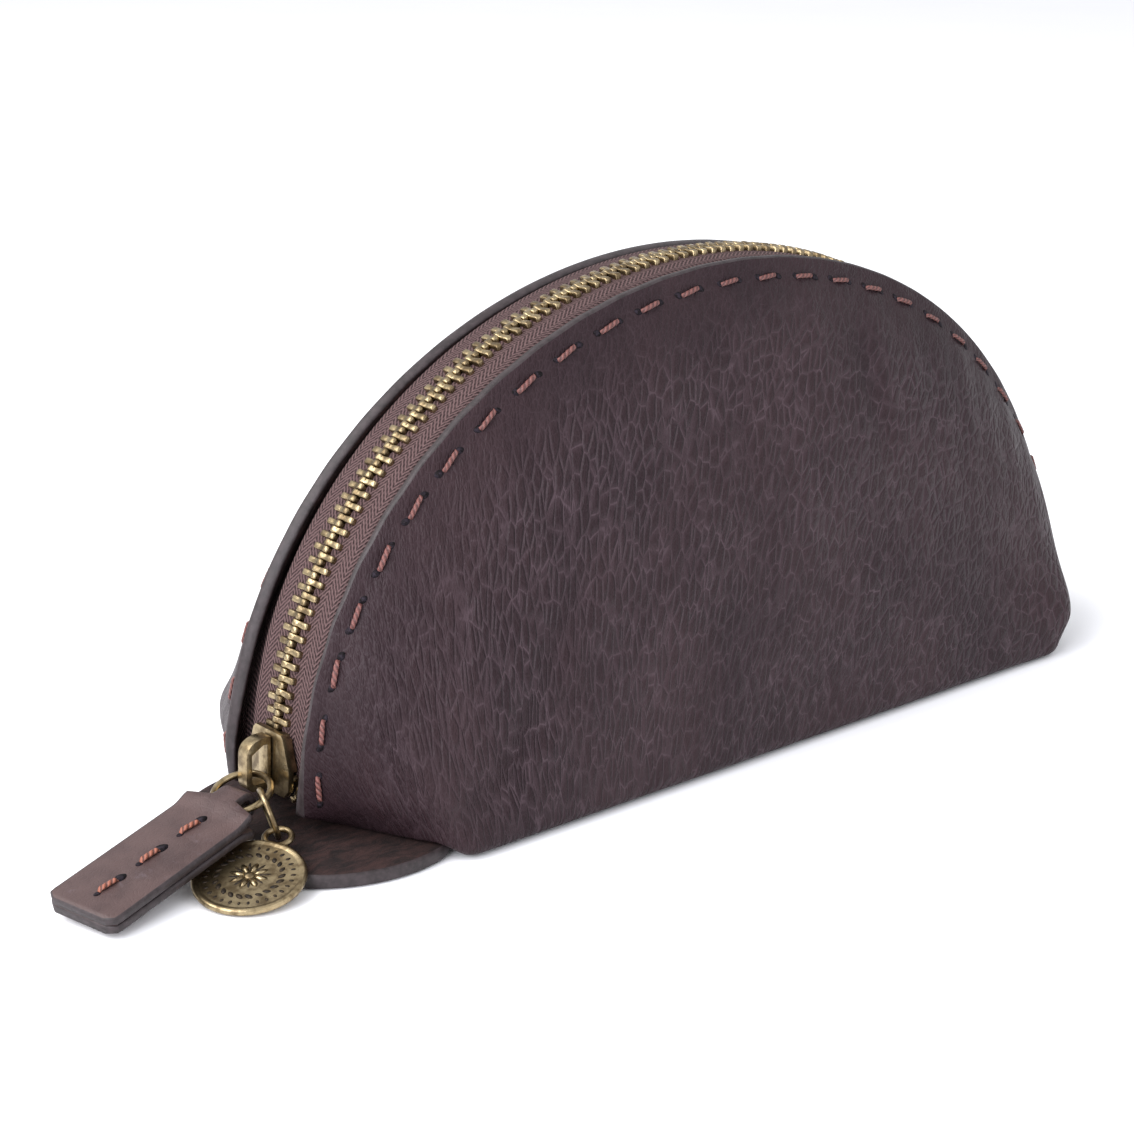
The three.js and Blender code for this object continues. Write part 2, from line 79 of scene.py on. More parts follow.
TAPE_FLAP = 9.5  # down from the rim to the tape's lower edge
SLIDER_AT = 12.0
PULL_RING_R = 4.85
PULL_RING_WIRE = 0.6  # radius of the wire
PULL_RING_DIR = (-0.88, -0.38, -0.28)
PULL_RING_UP = (-0.28, -0.12, 0.95)
CHARM_RING_R = 4.15
CHARM_RING_WIRE = 0.5
PULLER_LONG = 34.0
PULLER_WIDE = 14.4
PULLER_NECK = 5.4
PULLER_LEAF = 1.4
PULLER_EYE = 1.15  # radius of the loop's hole round the ring
PULLER_AXIS = (-0.956, -0.243, -0.166)
PULLER_SIDE = (-0.253, 0.96, 0.05)
MEDAL_R = 9.3
MEDAL_THICK = 1.2
MEDAL_AT = (-111.9, -17.5, 3.2)
MEDAL_UP = (-0.17, -0.13, 0.975)
MEDAL_LUG = 11.0
MEDAL_LUG_DIR = (0.85, 0.49, 0.2135)

# Seams: stitches start this far along the zip and repeat at this spacing.
STITCH_START = 12.5
STITCH_PITCH = 10.03
STITCH_LONG = 5.2
STITCH_IN = 3.9
STITCH_COUNT = 27
SCALLOP = 0.22  # how far the rim waves in and out between stitches
FOLD_R = 2.4


# ---- vectors and curves ----
def unit(v):
    v = np.asarray(v, float)
    return v / np.linalg.norm(v, axis=-1, keepdims=True)


def smooth(x):
    x = np.clip(x, 0, 1)
    return x * x * (3 - 2 * x)


def arch_table(steps=1452):
    t = np.linspace(-1, 1, steps + 1)
    turn = -(ARCH_TURN * t + ARCH_CURL * t**3)
    middle = (turn[1:] + turn[:-1]) / 2
    step = ARCH_LENGTH / steps
    x = np.concatenate([[0], np.cumsum(np.cos(middle) * step)])
    z = np.concatenate([[0], np.cumsum(np.sin(middle) * step)])
    crown = steps // 2
    return np.linspace(0, ARCH_LENGTH, steps + 1), x - x[crown], z - z[crown] + ARCH_HEIGHT, turn


ARCH = arch_table()


def arch_at(s):
    """Point, direction along and direction out of the zip's arch at length s."""
    s = np.asarray(s, float)
    x, z, turn = (np.interp(s, ARCH[0], column) for column in ARCH[1:])
    zero = np.zeros_like(x)
    at = np.stack([x, zero, z], -1)
    along = np.stack([np.cos(turn), zero, np.sin(turn)], -1)
    out = np.stack([-np.sin(turn), zero, np.cos(turn)], -1)
    return at, along, out


def zip_point(s, y, depth):
    at, _, out = arch_at(s)
    point = at - out * np.asarray(depth, float)[..., None]
    point[..., 1] = point[..., 1] + y
    return point


def row_table(step=0.1):
    rows = [(SPLAY_FROM, SPLAY_FROM, 0.0, 0.0)]
    t = SPLAY_FROM - step
    while t > 0:
        angle = SPLAY_ANGLE * float(smooth((SPLAY_FROM - t) / (SPLAY_FROM - SPLAY_TO)))
        _, s, away, _ = rows[-1]
        rows.append((t, s - math.cos(angle) * step, away + math.sin(angle) * step, angle))
        t -= step
    return np.array(rows[::-1]).T


ROW = row_table()


def row_at(t):
    """Where a row of teeth is at length t: along the arch, away from the middle, and turned."""
    t = np.asarray(t, float)
    s = np.where(t >= SPLAY_FROM, t, np.interp(t, ROW[0], ROW[1]))
    away = np.where(t >= SPLAY_FROM, 0, np.interp(t, ROW[0], ROW[2]))
    angle = np.where(t >= SPLAY_FROM, 0, np.interp(t, ROW[0], ROW[3]))
    return s, away, angle


def foot_table():
    """The bottom edge of a side panel as a polyline, with the length along it."""

    def bend(a, b, c, count=24):
        t = np.linspace(0, 1, count)[1:, None]
        a, b, c = np.array(a), np.array(b), np.array(c)
        return (1 - t) ** 2 * a + 2 * t * (1 - t) * b + t**2 * c

    left = [(-END_X, RIM_Y), (-END_X + 3.4, 19.0)]
    right = [(END_X, RIM_Y)]
    points = np.concatenate(
        [
            np.array(left),
            bend(left[1], (-FOOT_X, FOOT_Y), (-FOOT_X + 5, FOOT_Y)),
            bend((FOOT_X - 5, FOOT_Y), (FOOT_X, FOOT_Y), (END_X - 3.4, 19.0)),
            np.array(right),
        ]
    )
    points = np.insert(points, 25, [(FOOT_X - 5, FOOT_Y)], axis=0)
    length = np.concatenate([[0], np.cumsum(np.linalg.norm(np.diff(points, axis=0), axis=1))])
    return length / length[-1], points


FOOT = foot_table()


# ---- meshes ----
def make_object(name, vertices, faces, materials, indices=None, attributes=None, shade=True):
    """A mesh object at the origin. Vertices are in millimetres."""
    mesh = bpy.data.meshes.new(name)
    mesh.from_pydata((np.asarray(vertices, float) * MM).tolist(), [], faces)
    for m in materials:
        mesh.materials.append(m)
    if indices is not None:
        mesh.polygons.foreach_set("material_index", indices)
    for key, values in (attributes or {}).items():
        layer = mesh.attributes.new(key, "FLOAT_VECTOR", "POINT")
        layer.data.foreach_set("vector", np.asarray(values, np.float32).ravel())
    mesh.update()
    obj = bpy.data.objects.new(name, mesh)
    bpy.context.scene.collection.objects.link(obj)
    if mesh.polygons:
        face_outwards(obj)
        mesh.polygons.foreach_set("use_smooth", [shade] * len(mesh.polygons))
    return obj


def face_outwards(obj):
    bm = bmesh.new()
    bm.from_mesh(obj.data)
    bmesh.ops.recalc_face_normals(bm, faces=bm.faces)
    if bm.calc_volume(signed=True) < 0:
        bmesh.ops.reverse_faces(bm, faces=bm.faces)
    bm.to_mesh(obj.data)
    bm.free()


def rings_to_faces(count, around, cap=True):
    """Faces that join `count` closed rings of `around` points, with flat ends."""
    faces = []
    for i in range(count - 1):
        for j in range(around):
            k = (j + 1) % around
            a, b = i * around, (i + 1) * around
            faces.append((a + j, a + k, b + k, b + j))
    if cap:
        faces.append(tuple(range(around)))
        faces.append(tuple(range((count - 1) * around, count * around)))
    return faces


def frame_of(x, z, at):
    """Rotation columns and place for a piece whose own X and Z point along x and z."""
    z = unit(z)
    x = unit(np.asarray(x, float) - np.dot(x, z) * z)
    return np.stack([x, np.cross(z, x), z], 1), np.asarray(at, float)


def to_frame(points, placed):
    turn, at = placed
    return np.asarray(points, float) @ turn.T + at


def torus(name, major, minor, placed, material, around=72, section=18):
    a = np.linspace(0, 2 * math.pi, around, endpoint=False)[:, None]
    b = np.linspace(0, 2 * math.pi, section, endpoint=False)[None, :]
    r = major + minor * np.cos(b)
    points = np.stack([r * np.cos(a), r * np.sin(a), minor * np.sin(b) + 0 * a], -1).reshape(-1, 3)
    faces = []
    for i in range(around):
        for j in range(section):
            k, m = (i + 1) % around, (j + 1) % section
            faces.append((i * section + j, k * section + j, k * section + m, i * section + m))
    return make_object(name, to_frame(points, placed), faces, [material])


def softened(node, name, width, material, segments=3, angle=35):
    """A copy of a CAD node with rolled edges."""
    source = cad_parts[node]
    mesh = source.data.copy()
    mesh.name = name
    mesh.materials.clear()
    mesh.materials.append(material)
    bm = bmesh.new()
    bm.from_mesh(mesh)
    bmesh.ops.remove_doubles(bm, verts=bm.verts, dist=1e-6)
    bmesh.ops.dissolve_limit(bm, angle_limit=math.radians(3), verts=bm.verts, edges=bm.edges)
    bm.to_mesh(mesh)
    bm.free()
    obj = bpy.data.objects.new(name, mesh)
    bpy.context.scene.collection.objects.link(obj)
    bevel = obj.modifiers.new("rolled edges", "BEVEL")
    bevel.width = width * MM
    bevel.segments = segments
    bevel.limit_method = "ANGLE"
    bevel.angle_limit = math.radians(angle)
    bevel.use_clamp_overlap = True
    settle(obj)
    obj.data.polygons.foreach_set("use_smooth", [True] * len(obj.data.polygons))
    obj.data.set_sharp_from_angle(angle=math.radians(50))
    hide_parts(node)
    return obj


def settle(obj):
    """Turn an object's modifiers into plain mesh."""
    graph = bpy.context.evaluated_depsgraph_get()
    finished = obj.evaluated_get(graph)
    made = bpy.data.meshes.new_from_object(finished, preserve_all_data_layers=True, depsgraph=graph)
    obj.modifiers.clear()
    obj.data = made
    return obj


# ---- shader helpers ----
def colour(code):
    """An sRGB hex colour as the linear colour a shader socket takes."""
    parts = [int(code[i : i + 2], 16) / 255 for i in (1, 3, 5)]
    linear = [c / 12.92 if c <= 0.04045 else ((c + 0.055) / 1.055) ** 2.4 for c in parts]
    return (*linear, 1.0)


def add(tree, kind, sockets=None, **settings):
    """A node with its settings, and values or links on its inputs."""
    made = tree.nodes.new(kind)
    for key, value in settings.items():
        setattr(made, key, value)
    for key, value in (sockets or {}).items():
        socket = made.inputs[key]
        if isinstance(value, bpy.types.NodeSocket):
            tree.links.new(value, socket)
        else:
            socket.default_value = value
    return made


def span(tree, value, low, high, to_low=0.0, to_high=1.0):
    """Value taken smoothly from low..high to to_low..to_high."""
    sockets = {"Value": value, "From Min": low, "From Max": high, "To Min": to_low, "To Max": to_high}
    return add(tree, "ShaderNodeMapRange", sockets, interpolation_type="SMOOTHSTEP").outputs[0]


def mix(tree, factor, a, b):
    return add(tree, "ShaderNodeMix", {0: factor, 6: a, 7: b}, data_type="RGBA").outputs[2]


def maths(tree, operation, *values):
    return add(tree, "ShaderNodeMath", dict(enumerate(values)), operation=operation).outputs[0]


def stretched(tree, vector, scale):
    return add(tree, "ShaderNodeVectorMath", {0: vector, 1: scale}, operation="MULTIPLY").outputs[0]


def cloud(tree, vector, scale, detail=3.0, rough=0.5):
    sockets = {"Vector": vector, "Scale": scale, "Detail": detail, "Roughness": rough}
    return add(tree, "ShaderNodeTexNoise", sockets).outputs["Fac"]


def shift(tree, vector, scale, amount):
    """The vector pushed about by noise, so that a regular pattern wanders."""
    sockets = {"Vector": vector, "Scale": scale, "Detail": 2.0}
    push = add(tree, "ShaderNodeTexNoise", sockets).outputs["Color"]
    centred = add(tree, "ShaderNodeVectorMath", {0: push, 1: (0.5, 0.5, 0.5)}, operation="SUBTRACT")
    scaled = stretched(tree, centred.outputs[0], (amount, amount, amount))
    return add(tree, "ShaderNodeVectorMath", {0: vector, 1: scaled}, operation="ADD").outputs[0]


def bump(tree, height, distance, strength=1.0):
    """A normal for relief of that depth, in metres."""
    sockets = {"Height": height, "Distance": distance, "Strength": strength}
    return add(tree, "ShaderNodeBump", sockets).outputs[0]


def new_material(name):
    material = bpy.data.materials.new(name)
    material.use_nodes = True
    tree = material.node_tree
    return material, tree, tree.nodes["Principled BSDF"]


def plug(tree, shader, **sockets):
    for key, value in sockets.items():
        socket = shader.inputs[key.replace("_", " ")]
        if isinstance(value, bpy.types.NodeSocket):
            tree.links.new(value, socket)
        else:
            socket.default_value = value


def object_place(tree):
    """The point in the piece's own coordinates, in metres."""
    return add(tree, "ShaderNodeTexCoord").outputs["Object"]


def attribute(tree, name):
    return add(tree, "ShaderNodeAttribute", attribute_name=name).outputs["Vector"]


def cells(tree, vector, scale):
    """Distance to the nearest wall of random cells, 0 on a wall."""
    sockets = {"Vector": vector, "Scale": scale, "Randomness": 0.95}
    voronoi = add(tree, "ShaderNodeTexVoronoi", sockets, feature="DISTANCE_TO_EDGE")
    return voronoi.outputs["Distance"]


# ---- materials ----
# Patterns per metre: 1000 divided by the size in millimetres.
GRAIN = 560.0  # plump grain cells 1.8 mm wide
FINE_GRAIN = 1300.0  # smaller wrinkles 0.8 mm wide, as fine as the eye parts them
GRAIN_TALL = 0.42  # a cell is this much shorter across than along
GRAIN_LEAN = -0.52  # radians the cells lean from the seam's square
TWILL_BAND = 0.0021  # metres from one turn of the herringbone to the next
TWILL_RIB = 0.00102  # metres between ribs, about twice the real ones so that they show
TWILL_THREAD = 0.0007  # metres between the threads in a rib
PLY_PITCH = 1.1  # mm along a stitch from one ply to the next


def pebbled_leather():
    """Milled calf leather: plump irregular grain cells parted by fine creases, which with the finer
    wrinkles are painted lighter as a cool highlight; calmer and smoother beside the seam, with slow
    changes of tone."""
    material, tree, shader = new_material("Pebbled calf leather")
    cut = attribute(tree, "cut")
    along, down = add(tree, "ShaderNodeSeparateXYZ", {0: cut}).outputs[:2]
    flat = shift(tree, cut, 60.0, 0.0022)
    drawn = shift(tree, flat, 300.0, 0.0002)
    sockets = {"Vector": drawn, "Angle": GRAIN_LEAN}
    leaning = add(tree, "ShaderNodeVectorRotate", sockets).outputs[0]
    coarse = cells(tree, stretched(tree, leaning, (1.0, GRAIN_TALL, 1.0)), GRAIN)
    fine = cells(tree, stretched(tree, leaning, (1.0, 0.6, 1.0)), FINE_GRAIN)
    broken = span(tree, cloud(tree, cut, 260.0), 0.3, 0.65, 0.3, 1.0)
    line = maths(tree, "MULTIPLY", span(tree, coarse, 0.0, 0.07, 1.0, 0.0), broken)
    halo = maths(tree, "MULTIPLY", span(tree, coarse, 0.0, 0.3, 1.0, 0.0), 0.35)
    crease = maths(tree, "MAXIMUM", line, halo)
    fine_wrinkle_highlight = span(tree, fine, 0.0, 0.1, 1.0, 0.0)
    beside_seam = span(tree, down, 0.004, 0.022, 0.18, 1.0)
    near_end = span(tree, along, 0.0, 0.075, 0.25, 1.0)
    patch = span(tree, cloud(tree, cut, 34.0), 0.32, 0.62, 0.6, 1.0)
    strong = maths(tree, "MULTIPLY", maths(tree, "MULTIPLY", beside_seam, patch), near_end)
    pores = cloud(tree, cut, 3200.0, 2.0)
    tone = cloud(tree, cut, 22.0, 4.0, 0.6)
    dark = mix(tree, span(tree, tone, 0.3, 0.7), colour("#22161A"), colour("#2E2023"))
    # Painted highlight: the crease and fine wrinkle masks lighten the colour towards a cool grey.
    crease_highlight = maths(tree, "MULTIPLY", crease, strong)
    base = mix(tree, maths(tree, "MULTIPLY", crease_highlight, 0.6), dark, colour("#57484E"))
    base = mix(tree, maths(tree, "MULTIPLY", fine_wrinkle_highlight, 0.15), base, colour("#463A3F"))
    rough = span(tree, cloud(tree, cut, 60.0), 0.3, 0.7, 0.38, 0.52)
    height = maths(tree, "MULTIPLY", span(tree, coarse, 0.0, 0.24), strong)
    height = maths(tree, "ADD", height, maths(tree, "MULTIPLY", span(tree, fine, 0.0, 0.3), 0.16))
    height = maths(tree, "ADD", height, maths(tree, "MULTIPLY", pores, 0.06))
    normal = bump(tree, height, 0.0004, 1.0)
    plug(tree, shader, Base_Color=base, Roughness=rough, Normal=normal)
    plug(tree, shader, Specular_IOR_Level=0.13)
    return material


def smooth_leather():
    """Strap leather: nearly plain, with faint wrinkles and streaky patches of a lighter cool grey."""
    material, tree, shader = new_material("Smooth strap leather")
    place = object_place(tree)
    tone = cloud(tree, place, 140.0, 4.0, 0.6)
    # Streaky noise lightens the colour to a cool grey in patches.
    streak_noise = cloud(tree, stretched(tree, place, (1.0, 0.6, 1.0)), 260.0, 5.0, 0.7)
    grey_streak_mask = span(tree, streak_noise, 0.56, 0.72)
    base = mix(tree, span(tree, tone, 0.3, 0.7), colour("#3B2A29"), colour("#4D3B39"))
    base = mix(tree, maths(tree, "MULTIPLY", grey_streak_mask, 0.45), base, colour("#5F5257"))
    wrinkle = cells(tree, shift(tree, place, 500.0, 0.0012), 900.0)
    pores = cloud(tree, place, 2600.0, 3.0)
    height = maths(tree, "ADD", span(tree, wrinkle, 0.0, 0.12, 0.0, 0.4), pores)
    plug(tree, shader, Base_Color=base, Roughness=span(tree, tone, 0.3, 0.7, 0.46, 0.6))
    plug(tree, shader, Normal=bump(tree, height, 0.00008, 0.7), Specular_IOR_Level=0.4)
    return material


def flesh_leather():
    """The rough inner side of the hide: matt, streaked and fibrous, very dark red-brown."""
    material, tree, shader = new_material("Leather flesh side")
    place = object_place(tree)
    combed = stretched(tree, shift(tree, place, 200.0, 0.004), (0.45, 1.3, 1.0))
    streak = cloud(tree, combed, 420.0, 6.0, 0.7)
    fibre = cloud(tree, stretched(tree, place, (0.5, 1.6, 1.0)), 1700.0, 4.0, 0.7)
    base = mix(tree, span(tree, streak, 0.35, 0.66), colour("#160E0E"), colour("#33211F"))
    base = mix(tree, span(tree, fibre, 0.6, 0.8, 0.0, 0.5), base, colour("#4F3D3A"))
    height = maths(tree, "ADD", streak, maths(tree, "MULTIPLY", fibre, 0.5))
    plug(tree, shader, Base_Color=base, Roughness=0.72, Specular_IOR_Level=0.3)
    plug(tree, shader, Normal=bump(tree, height, 0.0003, 0.8))
    return material


def edge_paint():
    """Painted and burnished cut edge: darker and greyer than the skin, faintly layered."""
    material, tree, shader = new_material("Painted leather edge")
    place = object_place(tree)
    layer = cloud(tree, place, 600.0, 4.0, 0.65)
    fleck = span(tree, cloud(tree, place, 2400.0, 2.0), 0.68, 0.8)
    base = mix(tree, span(tree, layer, 0.3, 0.7), colour("#211A1B"), colour("#352C2E"))
    base = mix(tree, maths(tree, "MULTIPLY", fleck, 0.3), base, colour("#5E5757"))
    plug(tree, shader, Base_Color=base, Roughness=0.52, Specular_IOR_Level=0.4)
    plug(tree, shader, Normal=bump(tree, layer, 0.00016, 0.6))
    return material


def twill_tape():
    """Woven zip tape: a herringbone of fine ribs, matt brown, with painted shade in the grooves between
    ribs and a painted highlight on the ribs.
    """
    material, tree, shader = new_material("Herringbone zip tape")
    along, across = add(tree, "ShaderNodeSeparateXYZ", {0: attribute(tree, "weave")}).outputs[:2]
    zigzag = maths(tree, "PINGPONG", across, TWILL_BAND)
    slant = maths(tree, "ADD", along, maths(tree, "MULTIPLY", zigzag, 1.25))
    rib = maths(tree, "SINE", maths(tree, "MULTIPLY", slant, 2 * math.pi / TWILL_RIB))
    thread = maths(tree, "SINE", maths(tree, "MULTIPLY", across, 2 * math.pi / TWILL_THREAD))
    finer = maths(tree, "MULTIPLY", thread, 0.3)
    weave = maths(tree, "ADD", maths(tree, "MULTIPLY", rib, 0.7), finer)
    place = object_place(tree)
    fuzz = cloud(tree, place, 2600.0, 3.0)
    # The weave's relief also sets the colour: painted shade darkens the grooves, painted highlight
    # lightens the ribs.
    base = mix(tree, span(tree, weave, -0.8, 0.8), colour("#251819"), colour("#5F4A4A"))
    base = mix(tree, span(tree, fuzz, 0.4, 0.75, 0.0, 0.35), base, colour("#6E5A58"))
    height = maths(tree, "ADD", weave, maths(tree, "MULTIPLY", fuzz, 0.6))
    plug(tree, shader, Base_Color=base, Roughness=0.88, Specular_IOR_Level=0.2)
    plug(tree, shader, Normal=bump(tree, height, 0.00014, 1.0))
    return material


def waxed_thread(name, light, dark):
    """Twisted waxed thread: slanting plies, painted darker as shade in the grooves between them and
    lighter as highlight on their crowns, with a soft waxy shine.
    """
    material, tree, shader = new_material(name)
    along, around = add(tree, "ShaderNodeSeparateXYZ", {0: attribute(tree, "twist")}).outputs[:2]
    turn = maths(tree, "MULTIPLY", along, 2 * math.pi / PLY_PITCH)
    turn = maths(tree, "ADD", turn, maths(tree, "MULTIPLY", around, 2.0))
    ply = maths(tree, "SINE", turn)
    place = object_place(tree)
    fray = cloud(tree, place, 3000.0, 3.0)
    # The ply relief also sets the colour: painted shade in the grooves, painted highlight on the crowns.
    base = mix(tree, span(tree, ply, -1.0, 0.2), colour(dark), colour(light))
    base = mix(tree, span(tree, fray, 0.45, 0.75, 0.0, 0.3), base, colour("#8A5F57"))
    plug(tree, shader, Base_Color=base, Roughness=0.6, Normal=bump(tree, ply, 0.00009, 0.9))
    return material


def antique_brass():
    """Antique brass: warm worn metal with darker patina gathered in soft patches."""
    material, tree, shader = new_material("Antique brass")
    place = object_place(tree)
    patina = cloud(tree, place, 420.0, 4.0, 0.6)
    grit = cloud(tree, place, 2600.0, 3.0)
    base = mix(tree, span(tree, patina, 0.36, 0.62), colour("#6A5B44"), colour("#A39272"))
    base = mix(tree, span(tree, grit, 0.58, 0.75, 0.0, 0.4), base, colour("#5A4C38"))
    rough = span(tree, patina, 0.3, 0.7, 0.42, 0.27)
    plug(tree, shader, Base_Color=base, Metallic=1.0, Roughness=rough)
    plug(tree, shader, Normal=bump(tree, grit, 0.00003, 0.6))
    return material


def blackened_brass():
    """Blackened recess of stamped brass: dull, almost soot-dark, with a trace of metal."""
    material, tree, shader = new_material("Blackened brass")
    place = object_place(tree)
    soot = cloud(tree, place, 1500.0, 4.0)
    base = mix(tree, span(tree, soot, 0.35, 0.65), colour("#1D1712"), colour("#3B2F20"))
    plug(tree, shader, Base_Color=base, Metallic=0.5, Roughness=0.62)
    plug(tree, shader, Normal=bump(tree, soot, 0.00004, 0.6))
    return material


def awl_hole():
    """The shaded inside of a stitching hole: dark, matt, mottled from near black to a cool dark grey."""
    material, tree, shader = new_material("Awl hole in leather")
    place = object_place(tree)
    depth = cloud(tree, place, 1800.0, 2.0)
    base = mix(tree, span(tree, depth, 0.35, 0.65), colour("#120D0F"), colour("#28222A"))
    plug(tree, shader, Base_Color=base, Roughness=0.8, Specular_IOR_Level=0.15)
    return material


def pale_floor():
    """Plain matt white paper, very slightly mottled."""
    material, tree, shader = new_material("White paper")
    place = object_place(tree)
    base = mix(tree, cloud(tree, place, 9.0), colour("#F4F4F6"), colour("#F7F7F8"))
    plug(tree, shader, Base_Color=base, Roughness=0.9, Specular_IOR_Level=0.1)
    return material


LEATHER_SKIN = pebbled_leather()
STRAP_SKIN = smooth_leather()
FLESH = flesh_leather()
EDGE = edge_paint()
TAPE = twill_tape()
THREAD = waxed_thread("Waxed thread, red-brown", "#6E423D", "#452624")
PULLER_THREAD = waxed_thread("Waxed thread, tan", "#8E5340", "#4A281F")
BRASS = antique_brass()
DARK_BRASS = blackened_brass()
HOLE = awl_hole()
FLOOR = pale_floor()


# ---- repeats ----
def repeat_group():
    """Geometry nodes that set one piece on every point, turned as the point says."""
    group = bpy.data.node_groups.new("Repeat on points", "GeometryNodeTree")
    face = group.interface
    face.new_socket("Geometry", in_out="INPUT", socket_type="NodeSocketGeometry")
    face.new_socket("Piece", in_out="INPUT", socket_type="NodeSocketObject")
    face.new_socket("Material", in_out="INPUT", socket_type="NodeSocketMaterial")
    face.new_socket("Seed", in_out="INPUT", socket_type="NodeSocketInt").default_value = 3
    face.new_socket("Tilt", in_out="INPUT", socket_type="NodeSocketFloat")
    face.new_socket("Size spread", in_out="INPUT", socket_type="NodeSocketFloat")
    face.new_socket("Geometry", in_out="OUTPUT", socket_type="NodeSocketGeometry")
    start = add(group, "NodeGroupInput").outputs
    sockets = {"Name": "facing"}
    facing = add(group, "GeometryNodeInputNamedAttribute", sockets, data_type="FLOAT_VECTOR")
    piece = add(group, "GeometryNodeObjectInfo", {"Object": start["Piece"]}).outputs["Geometry"]
    points = add(group, "GeometryNodeMeshToPoints", {"Mesh": start["Geometry"]}).outputs[0]
    sockets = {"Points": points, "Instance": piece, "Rotation": facing.outputs[0]}
    placed = add(group, "GeometryNodeInstanceOnPoints", sockets).outputs[0]
    tilt, spread = start["Tilt"], start["Size spread"]
    less = maths(group, "MULTIPLY", tilt, -1.0)
    low = add(group, "ShaderNodeCombineXYZ", {0: less, 1: less, 2: less}).outputs[0]
    high = add(group, "ShaderNodeCombineXYZ", {0: tilt, 1: tilt, 2: tilt}).outputs[0]
    sockets = {0: low, 1: high, "Seed": start["Seed"]}
    turn = add(group, "FunctionNodeRandomValue", sockets, data_type="FLOAT_VECTOR").outputs[0]
    sockets = {"Instances": placed, "Rotation": turn}
    turned = add(group, "GeometryNodeRotateInstances", sockets).outputs[0]
    small = maths(group, "SUBTRACT", 1.0, spread)
    big = maths(group, "ADD", 1.0, spread)
    sockets = {2: small, 3: big, "Seed": start["Seed"]}
    scale = add(group, "FunctionNodeRandomValue", sockets, data_type="FLOAT").outputs[1]
    sized = add(group, "GeometryNodeScaleInstances", {"Instances": turned, "Scale": scale}).outputs[0]
    real = add(group, "GeometryNodeRealizeInstances", {"Geometry": sized}).outputs[0]
    sockets = {"Geometry": real, "Material": start["Material"]}
    painted = add(group, "GeometryNodeSetMaterial", sockets).outputs[0]
    add(group, "NodeGroupOutput", {0: painted})
    return group


REPEAT = repeat_group()


def repeat(name, places, piece, material, tilt=0.0, spread=0.0, seed=3):
    """One plain mesh of `piece` set at every (rotation columns, point) in places."""
    points = np.array([at for _, at in places])
    facing = [Matrix(turn.tolist()).to_euler("XYZ") for turn, _ in places]
    turns = {"facing": [list(e) for e in facing]}
    obj = make_object(name, points, [], [material], attributes=turns)
    modifier = obj.modifiers.new("repeat", "NODES")
    modifier.node_group = REPEAT
    wanted = {"Piece": piece, "Material": material, "Seed": seed, "Tilt": tilt, "Size spread": spread}
    for item in REPEAT.interface.items_tree:
        if item.in_out == "INPUT" and item.name in wanted:
            modifier[item.identifier] = wanted[item.name]
    obj.update_tag()
    bpy.context.view_layer.update()
    settle(obj)
    obj.data.polygons.foreach_set("use_smooth", [True] * len(obj.data.polygons))
    return obj


def tooth_piece():
    """One tooth: a rounded bar with a raised head at the tip. X along the zip, Y outwards."""
    stations = [
        (-TOOTH_REACH - 0.15, 0.34, 0.44),
        (-TOOTH_REACH + 0.05, 0.54, 0.66),
        (-TOOTH_REACH + 0.55, 0.58, 0.74),
        (0.25, 0.58, 0.62),
        (0.60, 0.54, 0.40),
        (1.40, 0.55, 0.44),
        (SPINE_OUT - 0.45, 0.58, 0.52),
        (SPINE_OUT - 0.05, 0.56, 0.42),
        (SPINE_OUT + 0.15, 0.42, 0.14),
    ]
    low, c = -2.2, 0.16
    rings = []
    for y, half, up in stations:
        top = up - 0.35
        section = [(-half, low), (-half, top - c), (-half + c, top)]
        section += [(half - c, top), (half, top - c), (half, low)]
        rings += [(x, y, z) for x, z in section]
    obj = make_object("one tooth", rings, rings_to_faces(len(stations), 6), [BRASS])
    bevel = obj.modifiers.new("soft", "BEVEL")
    bevel.width = 0.07 * MM
    bevel.segments = 1
    bevel.limit_method = "ANGLE"
    bevel.angle_limit = math.radians(40)
    return settle(obj)


def stitch_piece(length, radius):
    """One stitch: a thread that rises out of a hole, lies along X and dives into the next."""
    steps, around = 22, 12
    rings, twist = [], []
    for i in range(steps + 1):
        t = 2 * i / steps - 1
        x = t * length / 2
        z = radius * 0.55 - 1.5 * max(0.0, abs(t) - 0.62) ** 2 * 6
        r = radius * (1 - 0.25 * abs(t) ** 3)
        for j in range(around):
            a = 2 * math.pi * j / around
            lobe = r * (1 + 0.07 * math.cos(2 * a + 2 * math.pi * x / PLY_PITCH))
            rings.append((x, lobe * math.cos(a) * 1.12, z + lobe * math.sin(a) * 0.85))
            twist.append((x, a, 0))
    faces = rings_to_faces(steps + 1, around)
    return make_object("one stitch", rings, faces, [THREAD], attributes={"twist": twist})


def lens_piece(name, length, width, thick, material):
    """A flat pointed lens lying in XY, the shape of an awl's cut."""
    around = 16
    points = [(0, 0, thick), (0, 0, -thick)]
    for i in range(around):
        a = 2 * math.pi * i / around
        points.append((length / 2 * math.cos(a), width / 2 * math.sin(a) * abs(math.sin(a)) ** 0.3, 0))
    faces = []
    for i in range(around):
        a, b = 2 + i, 2 + (i + 1) % around
        faces += [(0, a, b), (1, b, a)]
    return make_object(name, points, faces, [material])


# ---- side panels ----
def bottom_fold(flat_x):
    """How far a panel's lower edge is the free edge over the tongue: 1 there, 0 elsewhere."""
    return smooth((-FOOT_X + 2.5 - flat_x) / 4)


# Creases: middle x and z, direction in radians, half length, half width, depth.
CREASES = [
    (-66, 14, 0.55, 26, 2.6, 0.7),
    (-60, 22, 0.95, 24, 2.4, 0.6),
    (-70, 9, 0.2, 24, 2.2, 0.45),
    (70, 12, 2.5, 20, 2.6, 0.5),
    (29, 66, 1.72, 17, 3.4, 0.9),
    (16, 30, 0.3, 22, 3.0, 0.35),
]


